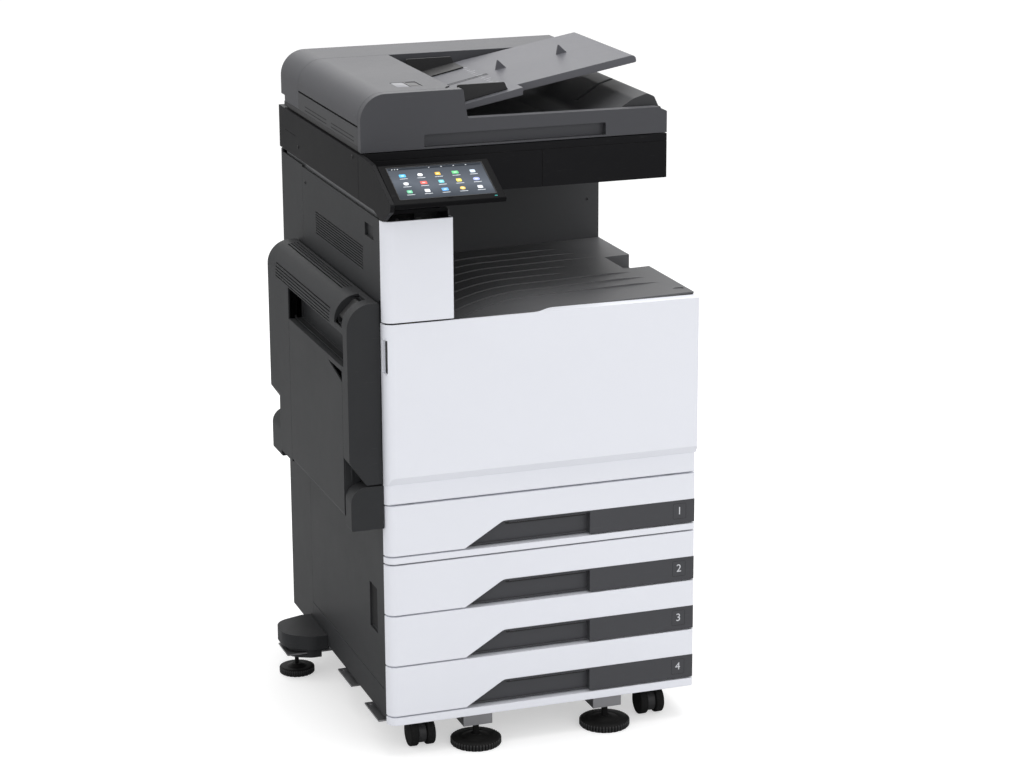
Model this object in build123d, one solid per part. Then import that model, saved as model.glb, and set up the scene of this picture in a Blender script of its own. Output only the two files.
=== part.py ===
from build123d import *
import math
import os

# Floor-standing colour copier. X runs to the right, Y to the back and Z up. Until the last step all
# places are measured from the cabinet's left side, the front of the paper trays and the floor.

# Driving dimensions, millimetres.
WIDTH = 600.0  # cabinet, side to side
DEPTH = 685.0  # tray front to rear cover
TRAY_HEIGHT = 95.0  # one tray front
TRAY_SEAM = 3.0  # gap between tray fronts
BASE_BOTTOM = 62.0
BASE_HEIGHT = 15.0
MID_TRIM_HEIGHT = 12.0
DOOR_HEIGHT = 335.0  # front door
DOOR_BULGE = 12.0  # how far the door stands in front of the trays
COLUMN_WIDTH = 129.0
BAY_HEIGHT = 193.0  # deck level to scanner underside
SCANNER_HEIGHT = 82.0
SCANNER_INSET = 10.0  # scanner and feeder end left of the cabinet's right side
SCANNER_FRONT = 132.0  # set back from the trays
FEEDER_HEIGHT = 104.0
RAIL_HEIGHT = 48.0  # low front rail of the feeder
FEEDER_WIDTH = 185.0
SIDE_UNIT_DEPTH = 62.0  # how far the left unit stands out
SIDE_UNIT_LENGTH = DEPTH - 132.0
WALL = 3.0  # cover thickness
SHEET = 2.0  # steel sheet thickness
SEAM = 0.6  # gap between neighbouring covers
FREE = 1.0  # gap between pieces that move past each other
REST = 0.3  # gap under a piece that lies on another
RUN = 0.06  # radial clearance of a pin in its bore
PIN = 3.0  # radius of hinge pins

SCANNER_WIDTH = WIDTH - SCANNER_INSET

# Levels worked out from them.
TRIM_TOP = BASE_BOTTOM + BASE_HEIGHT
PITCH = TRAY_HEIGHT + TRAY_SEAM
MID_BOTTOM = TRIM_TOP + 3 * PITCH + TRAY_SEAM
MID_TOP = MID_BOTTOM + MID_TRIM_HEIGHT
TRAY_BOTTOM = {
    1: MID_TOP + TRAY_SEAM,
    2: TRIM_TOP + TRAY_SEAM + 2 * PITCH,
    3: TRIM_TOP + TRAY_SEAM + PITCH,
    4: TRIM_TOP + TRAY_SEAM,
}
TRAYS_TOP = TRAY_BOTTOM[1] + TRAY_HEIGHT
DOOR_BOTTOM = TRAYS_TOP + TRAY_SEAM
DOOR_TOP = DOOR_BOTTOM + DOOR_HEIGHT
DECK_TOP = DOOR_TOP + TRAY_SEAM
SCANNER_BOTTOM = DECK_TOP + BAY_HEIGHT
SCANNER_TOP = SCANNER_BOTTOM + SCANNER_HEIGHT
COVER_TOP = SCANNER_BOTTOM - TRAY_SEAM
FEEDER_BOTTOM = SCANNER_TOP + 2.0
FEEDER_TOP = FEEDER_BOTTOM + FEEDER_HEIGHT
RAIL_TOP = FEEDER_BOTTOM + RAIL_HEIGHT

# Inner layout.
TRAY_FRONT_DEPTH = 20.0
TRAY_SIDE = 26.0  # cabinet side to the tub
TUB_DEPTH = DEPTH - 165.0
SIDE_REAR = DEPTH - 165.0  # where the side covers meet the rear cover
TUB_HEIGHT = 78.0
TUB_LIFT = 6.0  # tub floor above the front's lower edge
FLANGE_RISE = 60.0  # runner flange above the front's lower edge
FLANGE_WIDTH = 13.0
GRIP_HEIGHT = 45.0
GRIP_LEFT = 148.0
GRIP_LEAN = 74.0  # how far the band's left end leans over its height
GRIP_BLOCK = 391.0  # where the hand recess ends
FRAME_X = 6.0
FRAME_FRONT = 34.0
BACK_PLATE_Y = DEPTH - 35.0
INNER_COVER_Y = 32.0
BAY_REAR = DEPTH - 185.0  # rear wall of the output bay
HINGE_X = -33.0  # left unit's pivot
HINGE_Z = TRAYS_TOP + 10.0
HINGE_BOX = 28.0  # radius of the hinge boxes' rounded tops
SIDE_FRONT = 12.0
SIDE_UNIT_TOP = DECK_TOP + 33.0
SIDE_UNIT_BOTTOM = TRAYS_TOP - 28.0
BYPASS_TOP = DECK_TOP - 85.0
BYPASS_FRONT = 50.0
BYPASS_REAR = DEPTH - 272.0
WHEEL_RADIUS = 25.0
CASTER_TRAIL = 14.0
LEVELER_RADIUS = 46.0
LEVELER_X = (172.0, WIDTH - 172.0)
LEVELER_Y = 19.0
STABILISER = (-48.0, DEPTH - 207.0)
STABILISER_RADIUS = 33.0
CASTERS = {
    "front_left": (72.0, 60.0),
    "front_right": (WIDTH - 72.0, 60.0),
    "rear_left": (72.0, DEPTH - 65.0),
    "rear_right": (WIDTH - 72.0, DEPTH - 65.0),
}
DOOR_BACK = 14.0
DOOR_ARMS = (44.0, WIDTH - 50.0)
DOOR_HINGE_Y = 8.0
DOOR_HINGE_Z = DOOR_BOTTOM + 10.0
LID_HINGE_Y = DEPTH - 13.0
LID_HINGE_Z = FEEDER_BOTTOM + 10.0
LID_HINGES = (95.0, WIDTH - 105.0)
TRAY_END = SCANNER_WIDTH - 23.0  # right end of the document tray
TRAY_KNEE = 334.0
TRAY_START = 208.0
SLOPE_LOW = 0.213
SLOPE_HIGH = 0.182
TRAY_THICK = 14.0
PANEL_TILT = 25.0
PANEL_WIDTH = 202.0
PANEL_LENGTH = 118.0
PANEL_THICK = 12.0
PANEL_LEFT = 8.6
PANEL_FRONT = (-62.0, SCANNER_BOTTOM + 28.0)
PANEL_LUG_X = 118.0
GRAB_RISE = (144.0, 231.0)  # side grab recesses, above the base strip
GRAB_Y = (65.0, 113.0)
TONER_X = (175.0, 280.0, 385.0, 490.0)
TONER_Z = DECK_TOP - 123.0
TONER_RADIUS = 38.0
PORT_GAP = 1.0
DRUM_Z = DECK_TOP - 190.0
ENGINE_Y = (60.0, 430.0)  # drum units and belt rollers, front to rear
BUTTON_X = (31.0, 59.0)
BUTTON_Z = (TONER_Z - 19.0, TONER_Z - 1.0)
PLATEN_X = (80.0, SCANNER_WIDTH - 70.0)
PLATEN_Y = (225.0, DEPTH - 150.0)
STRIP_X = (32.0, 54.0)
RAIL_Y = (185.0, DEPTH - 110.0)
RAIL_LIFT = 26.0
RAIL_RADIUS = 6.0
CARRIAGE_X = (17.0, 69.0)
PAD_X = (14.0, SCANNER_WIDTH - 30.0)
PAD_Y = (170.0, DEPTH - 45.0)
FEEDER_REAR = BAY_REAR + 53.0  # front of the feeder's rear ridge
FEED_ROLLER = (150.0, FEEDER_TOP - 28.0)
ROLLER_Y = (BAY_REAR - 200.0, BAY_REAR - 100.0)
TRAY_Y_LOW = (200.0, BAY_REAR + 40.0)
TRAY_Y_HIGH = (232.0, BAY_REAR + 40.0)
TRAY_PIVOT = (214.0, FEEDER_TOP - 48.0)
TRAY_LOW_Z = FEEDER_TOP - 43.0
COVER_PIVOT = (13.0, FEEDER_TOP - 48.0)
GUIDE_FACE = (216.0, BAY_REAR + 30.0)
BYPASS_PIVOT = (-SIDE_UNIT_DEPTH + 6.0, SIDE_UNIT_BOTTOM + 8.0)
LATCH_PIVOT = (-24.0, SIDE_UNIT_TOP - 14.0)
SIDE_UNIT_REAR = SIDE_FRONT + SIDE_UNIT_LENGTH
ARM_REAR = SIDE_UNIT_REAR - 66.0  # rear end of the left unit's hinge arm


# Shape helpers.
def block(x, y, z):
    """A box from three (low, high) pairs."""
    size = [high - low for low, high in (x, y, z)]
    centre = [(low + high) / 2 for low, high in (x, y, z)]
    return Pos(*centre) * Box(*size)


def rod(axis, span, centre, radius):
    """A cylinder along an axis. centre holds its two other coordinates, in X, Y, Z order."""
    low, high = span
    mid = (low + high) / 2
    turned = {"x": Rot(0, 90, 0), "y": Rot(90, 0, 0), "z": Rot(0, 0, 0)}[axis]
    place = {
        "x": (mid, centre[0], centre[1]),
        "y": (centre[0], mid, centre[1]),
        "z": (centre[0], centre[1], mid),
    }[axis]
    return Pos(*place) * turned * Cylinder(radius, high - low)


def outline(corners, lift):
    """A closed face from (u, v) or (u, v, radius) corners. lift turns (u, v) into a point."""
    count = len(corners)
    starts, ends, mids = [], [], []
    for i, corner in enumerate(corners):
        here = Vector(corner[0], corner[1])
        radius = corner[2] if len(corner) > 2 else 0
        if not radius:
            starts.append(here)
            ends.append(here)
            mids.append(None)
            continue
        before = (Vector(*corners[i - 1][:2]) - here).normalized()
        after = (Vector(*corners[(i + 1) % count][:2]) - here).normalized()
        half = math.acos(max(-1, min(1, before.dot(after)))) / 2
        reach = radius / math.tan(half)
        starts.append(here + before * reach)
        ends.append(here + after * reach)
        inward = (before + after).normalized()
        mids.append(here + inward * (radius / math.sin(half) - radius))
    edges = []
    for i in range(count):
        if mids[i]:
            three = [lift(p.X, p.Y) for p in (starts[i], mids[i], ends[i])]
            edges.append(Edge.make_three_point_arc(*three))
        begin, finish = ends[i], starts[(i + 1) % count]
        if (finish - begin).length > 1e-6:
            edges.append(Edge.make_line(lift(begin.X, begin.Y), lift(finish.X, finish.Y)))
    return Face(Wire(edges))


def along(axis, corners, span):
    """An outline pushed along an axis. Its corners hold the two other coordinates, in X, Y, Z order."""
    low, high = span
    lift = {
        "x": lambda u, v: Vector(low, u, v),
        "y": lambda u, v: Vector(u, low, v),
        "z": lambda u, v: Vector(u, v, low),
    }[axis]
    way = {"x": (1, 0, 0), "y": (0, 1, 0), "z": (0, 0, 1)}[axis]
    return extrude(outline(corners, lift), amount=high - low, dir=way)


def cut_slots(shape, x, y, z_low, count, pitch, height):
    """Cuts a stack of louvre slots through the X span."""
    for i in range(count):
        z = z_low + i * pitch
        shape -= block(x, y, (z, z + height))
    return shape


def front_corner(x, y_front, radius, z):
    """The rounded front-left and squarer front-right plan of the white front pieces."""
    low, high = x
    back = y_front + TRAY_FRONT_DEPTH
    plan = [(low, y_front, radius), (high, y_front, 5), (high, back), (low, back)]
    return along("z", plan, z)


def corner_hollow(x, y, radius, z):
    """A hollow that keeps an even wall behind a rounded front-left corner."""
    return along("z", [(x[0], y[0], radius), (x[1], y[0], 2), (x[1], y[1]), (x[0], y[1])], z)


# Frame.
def caster_plate(place):
    x, y = place
    return block((x - 38, x + 38), (y - 34, y + 34), (BASE_BOTTOM - 4, BASE_BOTTOM + 2))


def leveler_bracket(x):
    """A folded channel that carries a front leveler's screw."""
    half = 28
    outer = block((x - half, x + half), (5, 96), (40, BASE_BOTTOM + 2))
    inner = block((x - half + 2.5, x + half - 2.5), (7.5, 97), (42.5, BASE_BOTTOM + 3))
    ears = block((x - half, x + half), (30, 96), (BASE_BOTTOM - 1, BASE_BOTTOM + 2))
    ears -= rod("z", (50, 80), (x, LEVELER_Y), 12)
    bore = rod("z", (30, 60), (x, LEVELER_Y), 6 + RUN)
    return outer - inner + ears - bore


def side_tab(y):
    """A fixing tab that stands out of the left side near the floor."""
    tab = block((-12, FRAME_X), (y, y + 92), (BASE_BOTTOM, BASE_BOTTOM + WALL))
    return tab - rod("z", (50, 90), (-5, y + 80), 3)


def stabiliser_arm():
    x, y = STABILISER
    arm = block((-78, 20), (y - 45, y + 25), (52, 55))
    arm += block((6, 20), (y - 45, y + 25), (52, BASE_BOTTOM + 2))
    return arm - rod("z", (40, 70), (x, y), 4 + RUN)


def base_frame():
    x = (FRAME_X, WIDTH - FRAME_X)
    frame = block(x, (FRAME_FRONT - 10, DEPTH - 8), (BASE_BOTTOM, TRIM_TOP))
    inner = ((FRAME_X + 40, WIDTH - FRAME_X - 40), (FRAME_FRONT + 66, DEPTH - 110))
    frame -= block(*inner, (BASE_BOTTOM - 1, TRIM_TOP + 1))
    for place in CASTERS.values():
        frame += caster_plate(place)
        frame -= rod("z", (BASE_BOTTOM - 6, BASE_BOTTOM + 9), place, 7 + RUN)
    for x_leveler in LEVELER_X:
        frame -= rod("z", (BASE_BOTTOM - 1, TRIM_TOP + 1), (x_leveler, LEVELER_Y), 12)
        frame += leveler_bracket(x_leveler)
    for y in (30, 212):
        frame += side_tab(y)
    return frame + stabiliser_arm()


def front_trim():
    """The white strips under the lowest tray and between the cabinet and the engine."""
    strips = []
    for low, high in ((BASE_BOTTOM, TRIM_TOP), (MID_BOTTOM, MID_TOP)):
        strip = front_corner((0, WIDTH), 0, 18, (low, high))
        notch = corner_hollow((WALL, WIDTH - WALL), (WALL, 30), 15, (low - 1, high - WALL))
        strips.append(strip - notch)
    return strips


def frame_plates():
    y = (FRAME_FRONT, BACK_PLATE_Y)
    z = (TRIM_TOP, COVER_TOP - 2)
    left = block((FRAME_X, FRAME_X + SHEET), y, z)
    left -= block((0, 20), (70, 470), (TRAYS_TOP + 90, DECK_TOP - 30))
    left -= block((0, 20), (45, 470), (DECK_TOP + 20, DECK_TOP + 150))
    right_x = WIDTH - FRAME_X - SHEET
    right = block((right_x, right_x + SHEET), y, (TRIM_TOP, DECK_TOP - 64))
    across = (FRAME_X + SHEET, right_x)
    shelf = block(across, (TRAY_FRONT_DEPTH + 3, BACK_PLATE_Y), (MID_BOTTOM + 4, MID_BOTTOM + 7))
    floor = block(across, y, (TRAYS_TOP + 5, TRAYS_TOP + 8))
    return [left, right, shelf, floor]


def back_plate():
    z = (TRIM_TOP, COVER_TOP - 2)
    plate = block((FRAME_X, WIDTH - FRAME_X), (BACK_PLATE_Y, BACK_PLATE_Y + SHEET), z)
    for z_hole in (300, 560, 900):
        plate -= rod("y", (BACK_PLATE_Y - 5, DEPTH), (WIDTH / 2, z_hole), 30)
    return plate


def tray_runners():
    runners = []
    for z0 in TRAY_BOTTOM.values():
        z = (z0 + FLANGE_RISE - 9, z0 + FLANGE_RISE - REST)
        span = (FRAME_FRONT, BACK_PLATE_Y - 20)
        left = FRAME_X + SHEET
        runners.append(block((left, TRAY_SIDE - 2), span, z))
        runners.append(block((WIDTH - TRAY_SIDE + 2, WIDTH - left), span, z))
    return runners


# Covers.
def left_covers():
    """The cabinet's side below the left unit and the engine's side above it."""
    grab = (TRIM_TOP + GRAB_RISE[0], TRIM_TOP + GRAB_RISE[1])
    low = block((0, WALL), (TRAY_FRONT_DEPTH + SEAM, SIDE_REAR), (BASE_BOTTOM + 9, MID_TOP + 40))
    low -= block((-1, 1), (32, SIDE_REAR - 1), (TRIM_TOP + 47, TRIM_TOP + 49))
    low -= block((-1, 4), GRAB_Y, grab)
    pocket = block((WALL - 1, FRAME_X - 0.5), (62, 116), (grab[0] - WALL, grab[1] + WALL))
    low += pocket - block((-1, FRAME_X - 2), GRAB_Y, grab)
    high = block((0, WALL), (8 + SEAM, SIDE_REAR), (SIDE_UNIT_TOP + 4, COVER_TOP - 8))
    high = cut_slots(high, (-1, 4), (114, 430), SIDE_UNIT_TOP + 38, 9, 5, 2.4)
    high -= block((-1, 4), (45, 99), (SIDE_UNIT_TOP + 105, SIDE_UNIT_TOP + 129))
    socket = block((WALL - 1, FRAME_X - 0.5), (42, 102), (SIDE_UNIT_TOP + 102, SIDE_UNIT_TOP + 132))
    high += socket - block((-1, 5), (45, 99), (SIDE_UNIT_TOP + 105, SIDE_UNIT_TOP + 129))
    wall = block((0, WALL), (TRAY_FRONT_DEPTH + SEAM, SIDE_REAR), (MID_TOP + 40, SIDE_UNIT_TOP + 4))
    wall -= block((-1, 4), (90, 450), (TRAYS_TOP + 100, DECK_TOP - 40))
    return [low + wall + high]


def right_cover():
    grab = (TRIM_TOP + GRAB_RISE[0], TRIM_TOP + GRAB_RISE[1])
    cover = block(
        (WIDTH - WALL, WIDTH), (TRAY_FRONT_DEPTH + SEAM, SIDE_REAR), (BASE_BOTTOM + 9, DOOR_TOP - 24),
    )
    x = (WIDTH - 4, WIDTH + 1)
    cover = cut_slots(cover, x, (SIDE_REAR - 190, SIDE_REAR - 30), TRAYS_TOP + 116, 12, 8, 3.5)
    cover -= block(x, GRAB_Y, grab)
    pocket = block((WIDTH - FRAME_X + 0.5, WIDTH - WALL + 1), (62, 116), (grab[0] - WALL, grab[1] + WALL))
    return cover + pocket - block((WIDTH - FRAME_X + 2, WIDTH + 1), GRAB_Y, grab)


def rear_cover():
    y = (SIDE_REAR + SEAM, DEPTH)
    z = (BASE_BOTTOM + 9, COVER_TOP)
    plan = [(0, y[0]), (WIDTH, y[0]), (WIDTH, y[1], 12), (0, y[1], 12)]
    cover = along("z", plan, z)
    inner = block((WALL, WIDTH - WALL), (y[0] - 1, DEPTH - WALL), (z[0] - 1, z[1] - WALL))
    cover -= inner
    cover -= block((-1, WIDTH + 1), (y[0] - 1, DEPTH - 20), (DECK_TOP + BAY_HEIGHT - 8, z[1] + 1))
    cover -= block((20, WIDTH - 20), (y[0] - 1, DEPTH - WALL - 1), (COVER_TOP - 5, z[1] + 1))
    for i in range(10):
        z_slot = TRAYS_TOP + 136 + i * 9
        cover -= block((90, 260), (DEPTH - 5, DEPTH + 1), (z_slot, z_slot + 4))
        cover -= block((340, 510), (DEPTH - 5, DEPTH + 1), (z_slot + 170, z_slot + 174))
    return cover - block((478, 522), (DEPTH - 5, DEPTH + 1), (104, 140))


def column_cover():
    """The white upper-left cover, open at the top under the control panel."""
    y = -DOOR_BULGE
    z = (DECK_TOP, SCANNER_BOTTOM - 11)
    plan = [(0, y, 18), (COLUMN_WIDTH, y, 3), (COLUMN_WIDTH, 8), (0, 8)]
    cover = along("z", plan, z)
    hole = [(WALL, y + WALL, 15), (COLUMN_WIDTH - WALL, y + WALL), (COLUMN_WIDTH - WALL, 9), (WALL, 9)]
    return cover - along("z", hole, (z[0] - 1, z[1] + 1))


def output_bay_walls():
    """The dark walls left of and behind the output deck, and the scanner's shoulder above."""
    z = (DECK_TOP - 62, SCANNER_BOTTOM)
    skirt = DECK_TOP - 26
    side = block((COLUMN_WIDTH - WALL, COLUMN_WIDTH), (9, BAY_REAR), z)
    side -= block((COLUMN_WIDTH - 5, COLUMN_WIDTH + 1), (60, 440), (DECK_TOP - 20, DECK_TOP + 6))
    side -= block((COLUMN_WIDTH - 5, COLUMN_WIDTH + 1), (60, 440), (DECK_TOP + 60, DECK_TOP + 84))
    rear = block((COLUMN_WIDTH - WALL, WIDTH - 2), (BAY_REAR, BAY_REAR + WALL), (skirt, z[1]))
    rear += block((COLUMN_WIDTH - WALL, WIDTH - 10), (BAY_REAR, BAY_REAR + WALL), z)
    edge = block((WIDTH - 5, WIDTH - 2), (BAY_REAR + WALL, SIDE_REAR - 1), (skirt, z[1]))
    rear -= rod("y", (BAY_REAR - 1, BAY_REAR + 2), (WIDTH - 28, DECK_TOP + 80), 3)
    shelf = block((WALL + 1, COLUMN_WIDTH - WALL), (45, BACK_PLATE_Y), (z[1] - 2, z[1]))
    posts = [
        block((20, 40), (BACK_PLATE_Y - 30, BACK_PLATE_Y), (COVER_TOP - 60, z[1] - 2)),
        block((FRAME_X + SHEET, 20), (60, 90), (COVER_TOP - 60, z[1] - 2)),
        block((80, COLUMN_WIDTH - WALL), (60, 90), (DECK_TOP + 100, z[1] - 2)),
    ]
    back = block((COLUMN_WIDTH - WALL, WIDTH - 10), (BAY_REAR + WALL, BACK_PLATE_Y), (z[1] - 2, z[1]))
    walls = side + rear + edge + shelf + back
    for post in posts:
        walls += post
    return walls


# Output deck.
def deck_line(rise):
    """The deck's top line, low at the exit and nearly flat at the right, lifted by rise."""
    start = (COLUMN_WIDTH + 1.5, DECK_TOP - 58 + rise)
    bend = (COLUMN_WIDTH + 100, DECK_TOP - 7 + rise, 380)
    end = (WIDTH - 2, DECK_TOP + 2 + rise)
    return [start, bend, end]


def deck_band(top, bottom, span):
    """The deck's skin between two lifts of its top line."""
    upper = deck_line(top)
    lower = deck_line(bottom)[::-1]
    return along("y", upper + lower, span)


def deck_rib(y, end):
    """One raised rib that follows the deck and fades out towards the right."""
    slope = 9 / (WIDTH - 2 - COLUMN_WIDTH - 100)
    top = deck_line(2.4)
    z_end = DECK_TOP - 7 + slope * (end - COLUMN_WIDTH - 100)
    corners = top[:2] + [(end - 60, z_end + 2.4 - slope * 60), (end, z_end - 0.5)]
    corners += [(COLUMN_WIDTH + 100, DECK_TOP - 9, 380), (COLUMN_WIDTH + 1.5, DECK_TOP - 60)]
    return along("y", corners, (y - 3, y + 3))


def output_deck():
    deck = deck_band(0, -3.5, (15, BAY_REAR - SEAM))
    apron = deck_band(0, -3.5, (-8.5, 17))
    plan = [
        (COLUMN_WIDTH + 1, -8.5), (283, -8.5, 30), (314, 15, 30), (360, 15), (360, 17),
        (COLUMN_WIDTH + 1, 17),
    ]
    deck += apron & along("z", plan, (DECK_TOP - 80, DECK_TOP + 20))
    for i, end in enumerate((500, 520, 545, 470, 450, 560, 570, 580)):
        deck += deck_rib(BAY_REAR - 60 - i * 47, end)
    x = (WIDTH - 57, WIDTH - 2)
    deck += block(x, (228, 339), (DECK_TOP - 26, DECK_TOP))
    mouth = [(WIDTH - 53, 0), (WIDTH + 1, -4), (WIDTH + 1, 60), (WIDTH - 53, 60)]
    scoop = along("y", [(u, DECK_TOP - 20 + v) for u, v in mouth], (232, 335))
    deck -= scoop
    dimple = [(572, 42, 6.9), (572, 56, 6.9), (592, 56, 6.9), (592, 42, 6.9)]
    deck -= along("z", dimple, (DECK_TOP + 0.2, DECK_TOP + 9))
    deck += block((WIDTH - 5, WIDTH - 2), (18, 228), (DECK_TOP - 26, DECK_TOP - 1))
    deck += block((WIDTH - 5, WIDTH - 2), (339, BAY_REAR - SEAM), (DECK_TOP - 26, DECK_TOP - 1))
    deck += block((320, WIDTH - 2), (15, 18), (DECK_TOP - 26, DECK_TOP - 3))
    return deck


# Engine behind the front door.
def inner_cover():
    x = (FRAME_X + SHEET, WIDTH - FRAME_X - SHEET)
    y = (INNER_COVER_Y, INNER_COVER_Y + WALL)
    cover = block(x, y, (TRAYS_TOP + 8, DECK_TOP - 28))
    cover -= block((0, COLUMN_WIDTH + 2), (0, 50), (DECK_TOP - 64, DECK_TOP))
    cover -= deck_band(60, -5, (0, 50))
    for x_toner in TONER_X:
        cover -= rod("y", (20, 50), (x_toner, TONER_Z), TONER_RADIUS + PORT_GAP)
    cover -= block(
        (BUTTON_X[0] - REST, BUTTON_X[1] + REST), (20, 50), (BUTTON_Z[0] - REST, BUTTON_Z[1] + REST),
    )
    bin_box = block((130, 470), (INNER_COVER_Y - 4, INNER_COVER_Y), (DOOR_BOTTOM + 40, DOOR_BOTTOM + 95))
    cover += bin_box
    for x_handle in (100, 535):
        handle = block(
            (x_handle - 12, x_handle + 12), (INNER_COVER_Y - 4, INNER_COVER_Y),
            (DOOR_BOTTOM + 110, DOOR_BOTTOM + 150),
        )
        cover += handle
    return cover


def toner_cartridges():
    cartridges = []
    for x in TONER_X:
        body = rod("y", (INNER_COVER_Y - 3, 420), (x, TONER_Z), TONER_RADIUS)
        knob = block((x - 6, x + 6), (INNER_COVER_Y - 9, INNER_COVER_Y - 3), (TONER_Z - 26, TONER_Z + 26))
        foot = block((x - 20, x + 20), (60, 420), (TONER_Z - TONER_RADIUS - 6, TONER_Z - TONER_RADIUS + 8))
        cartridges.append(body + knob + foot)
    return cartridges


def imaging_units():
    """Four drum units, the belt loop below them and its two rollers."""
    pieces = []
    z_drum = DRUM_Z
    for x in TONER_X:
        shell = block((x - 30, x + 30), ENGINE_Y, (z_drum - 10, TONER_Z - TONER_RADIUS - 6))
        pieces.append(shell + rod("y", ENGINE_Y, (x, z_drum - 12), 15))
    z_belt = z_drum - 44
    left, right = TONER_X[0] - 45, TONER_X[3] + 45
    rollers = [rod("y", ENGINE_Y, (x, z_belt), 14 - REST) for x in (left, right)]
    loop = [(left, z_belt - 15.5), (right, z_belt - 15.5), (right, z_belt + 15.5), (left, z_belt + 15.5)]
    skin = along("y", loop, (70, 420))
    for x in (left, right):
        skin += rod("y", (70, 420), (x, z_belt), 15.5)
    hollow = block((left, right), (69, 421), (z_belt - 14, z_belt + 14))
    for x in (left, right):
        hollow += rod("y", (69, 421), (x, z_belt), 14)
    bridge = block((left + 20, right - 20), (66, 426), (z_belt - 10, z_belt + 10))
    ends = [
        block((left - 18, right + 18), span, (z_belt - 40, z_drum))
        for span in ((52, 60), (430, 438))
    ]
    carrier = bridge + ends[0] + ends[1] + block(
        (left + 20, right - 20), (52, 66), (z_belt - 10, z_belt + 10),
    )
    carrier += block((left + 20, right - 20), (426, 438), (z_belt - 10, z_belt + 10))
    legs = [
        block((left, left + 16), ENGINE_Y, (TRAYS_TOP + 8, z_belt - 20)),
        block((right - 16, right), ENGINE_Y, (TRAYS_TOP + 8, z_belt - 20)),
    ]
    bin_body = block((150, 450), (60, 400), (TRAYS_TOP + 8, z_belt - 24))
    return pieces + rollers + [skin - hollow, carrier, bin_body] + legs


def fuser_unit():
    """The heated roller pair in its case, high in the left-hand paper path."""
    x, z = 62.0, DECK_TOP - 95
    case = block((x - 40, x + 42), (75, 455), (z - 34, z + 34))
    case -= block((x - 36, x + 38), (79, 451), (z - 35, z + 35))
    case += block((x - 40, x + 42), (75, 79), (z - 34, z + 34))
    case += block((x - 40, x + 42), (451, 455), (z - 34, z + 34))
    heat = rod("y", (79, 451), (x - 16, z), 15)
    press = rod("y", (79, 451), (x + 15.3, z), 15.5)
    rollers = []
    for z_pair in (TRAYS_TOP + 30, TRAYS_TOP + 95):
        rollers.append(rod("y", (60, 480), (38, z_pair), 9))
        rollers.append(rod("y", (60, 480), (57, z_pair), 9))
    guide = block((25, 75), (480, 486), (TRAYS_TOP + 8, TRAYS_TOP + 120))
    guide_front = block((25, 75), (54, 60), (TRAYS_TOP + 8, TRAYS_TOP + 120))
    stand = block((25, 75), (480, 486), (TRAYS_TOP + 120, z - 34)) + guide
    stand_front = block((25, 75), (54, 60), (TRAYS_TOP + 120, z - 34)) + guide_front
    stand += block((25, 75), (455, 486), (z - 34, z - 28))
    stand_front += block((25, 75), (54, 75), (z - 34, z - 28))
    return [case, heat, press, stand, stand_front] + rollers


def power_button():
    cap = block(BUTTON_X, (INNER_COVER_Y - 4, INNER_COVER_Y + 2), BUTTON_Z)
    return cap + block((40, 50), (INNER_COVER_Y + 2, INNER_COVER_Y + 12), (TONER_Z - 14, TONER_Z - 6))


def circuit_boards():
    """The controller, the power supply and the main motor on the back plate."""
    y = BACK_PLATE_Y + SHEET
    board = block((320, 560), (y + 5, y + 7), (620, 860))
    for x in (330, 540):
        for z in (630, 840):
            board += block((x, x + 8), (y, y + 5), (z, z + 8))
    for i in range(4):
        board += block((340 + 50 * i, 372 + 50 * i), (y + 7, y + 13), (700, 732))
    supply = block((60, 300), (y, y + 26), (160, 300))
    motor = rod("y", (y, y + 22), (180, 560), 32) + block((145, 215), (y, y + 4), (525, 595))
    return [board, supply, motor]


def power_inlet():
    z = (106, 138)
    shell = block((480, 520), (DEPTH - 26, DEPTH - 1), z)
    shell -= block((486, 514), (DEPTH - 18, DEPTH), (111, 133))
    for x in (493, 500, 507):
        shell += block((x - 1, x + 1), (DEPTH - 19, DEPTH - 4), (119, 125))
    foot = block((480, 520), (BACK_PLATE_Y + SHEET, DEPTH - 26), (106, 138))
    return shell + foot


# Scanner.
def scanner_housing():
    y = (SCANNER_FRONT + WALL + SEAM, DEPTH)
    z = (SCANNER_BOTTOM, SCANNER_TOP)
    shell = block((0, SCANNER_WIDTH), y, z)
    shell -= block((WALL, SCANNER_WIDTH - WALL), (y[0] + WALL, y[1] - WALL), (z[0] + WALL, z[1] - WALL))
    shell -= block(PLATEN_X, PLATEN_Y, (z[1] - 5, z[1] + 1))
    shell -= block(STRIP_X, PLATEN_Y, (z[1] - 5, z[1] + 1))
    shell += block((12, SCANNER_WIDTH - 12), (PLATEN_Y[0] - 12, PLATEN_Y[0] - 4), (z[0] + 3, z[0] + 20))
    for x in (8, SCANNER_WIDTH - 24):
        for y_rail in RAIL_Y:
            cradle = block((x, x + 16), (y_rail - 10, y_rail + 10), (z[0] + WALL, z[0] + 20))
            shell += cradle
    return shell - block((-1, 13), (DEPTH - 125, DEPTH - 45), (z[0] + 40, z[0] + 41))


def scanner_front_panel():
    y = (SCANNER_FRONT, SCANNER_FRONT + WALL)
    panel = block((0, SCANNER_WIDTH), y, (SCANNER_BOTTOM, SCANNER_TOP))
    panel -= block((346, 347.2), (y[0] - 1, y[0] + 1), (SCANNER_BOTTOM - 1, SCANNER_TOP - 14))
    panel -= block((-1, SCANNER_WIDTH + 1), (y[0] - 1, y[0] + 1), (SCANNER_TOP - 14, SCANNER_TOP - 12.8))
    return panel


def platen_glass():
    z = (SCANNER_TOP - WALL + 0.2, SCANNER_TOP - 0.3)
    inset = 0.2
    panes = []
    for x in (PLATEN_X, STRIP_X):
        y = (PLATEN_Y[0] + inset, PLATEN_Y[1] - inset)
        panes.append(block((x[0] + inset, x[1] - inset), y, z))
    return panes


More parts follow.
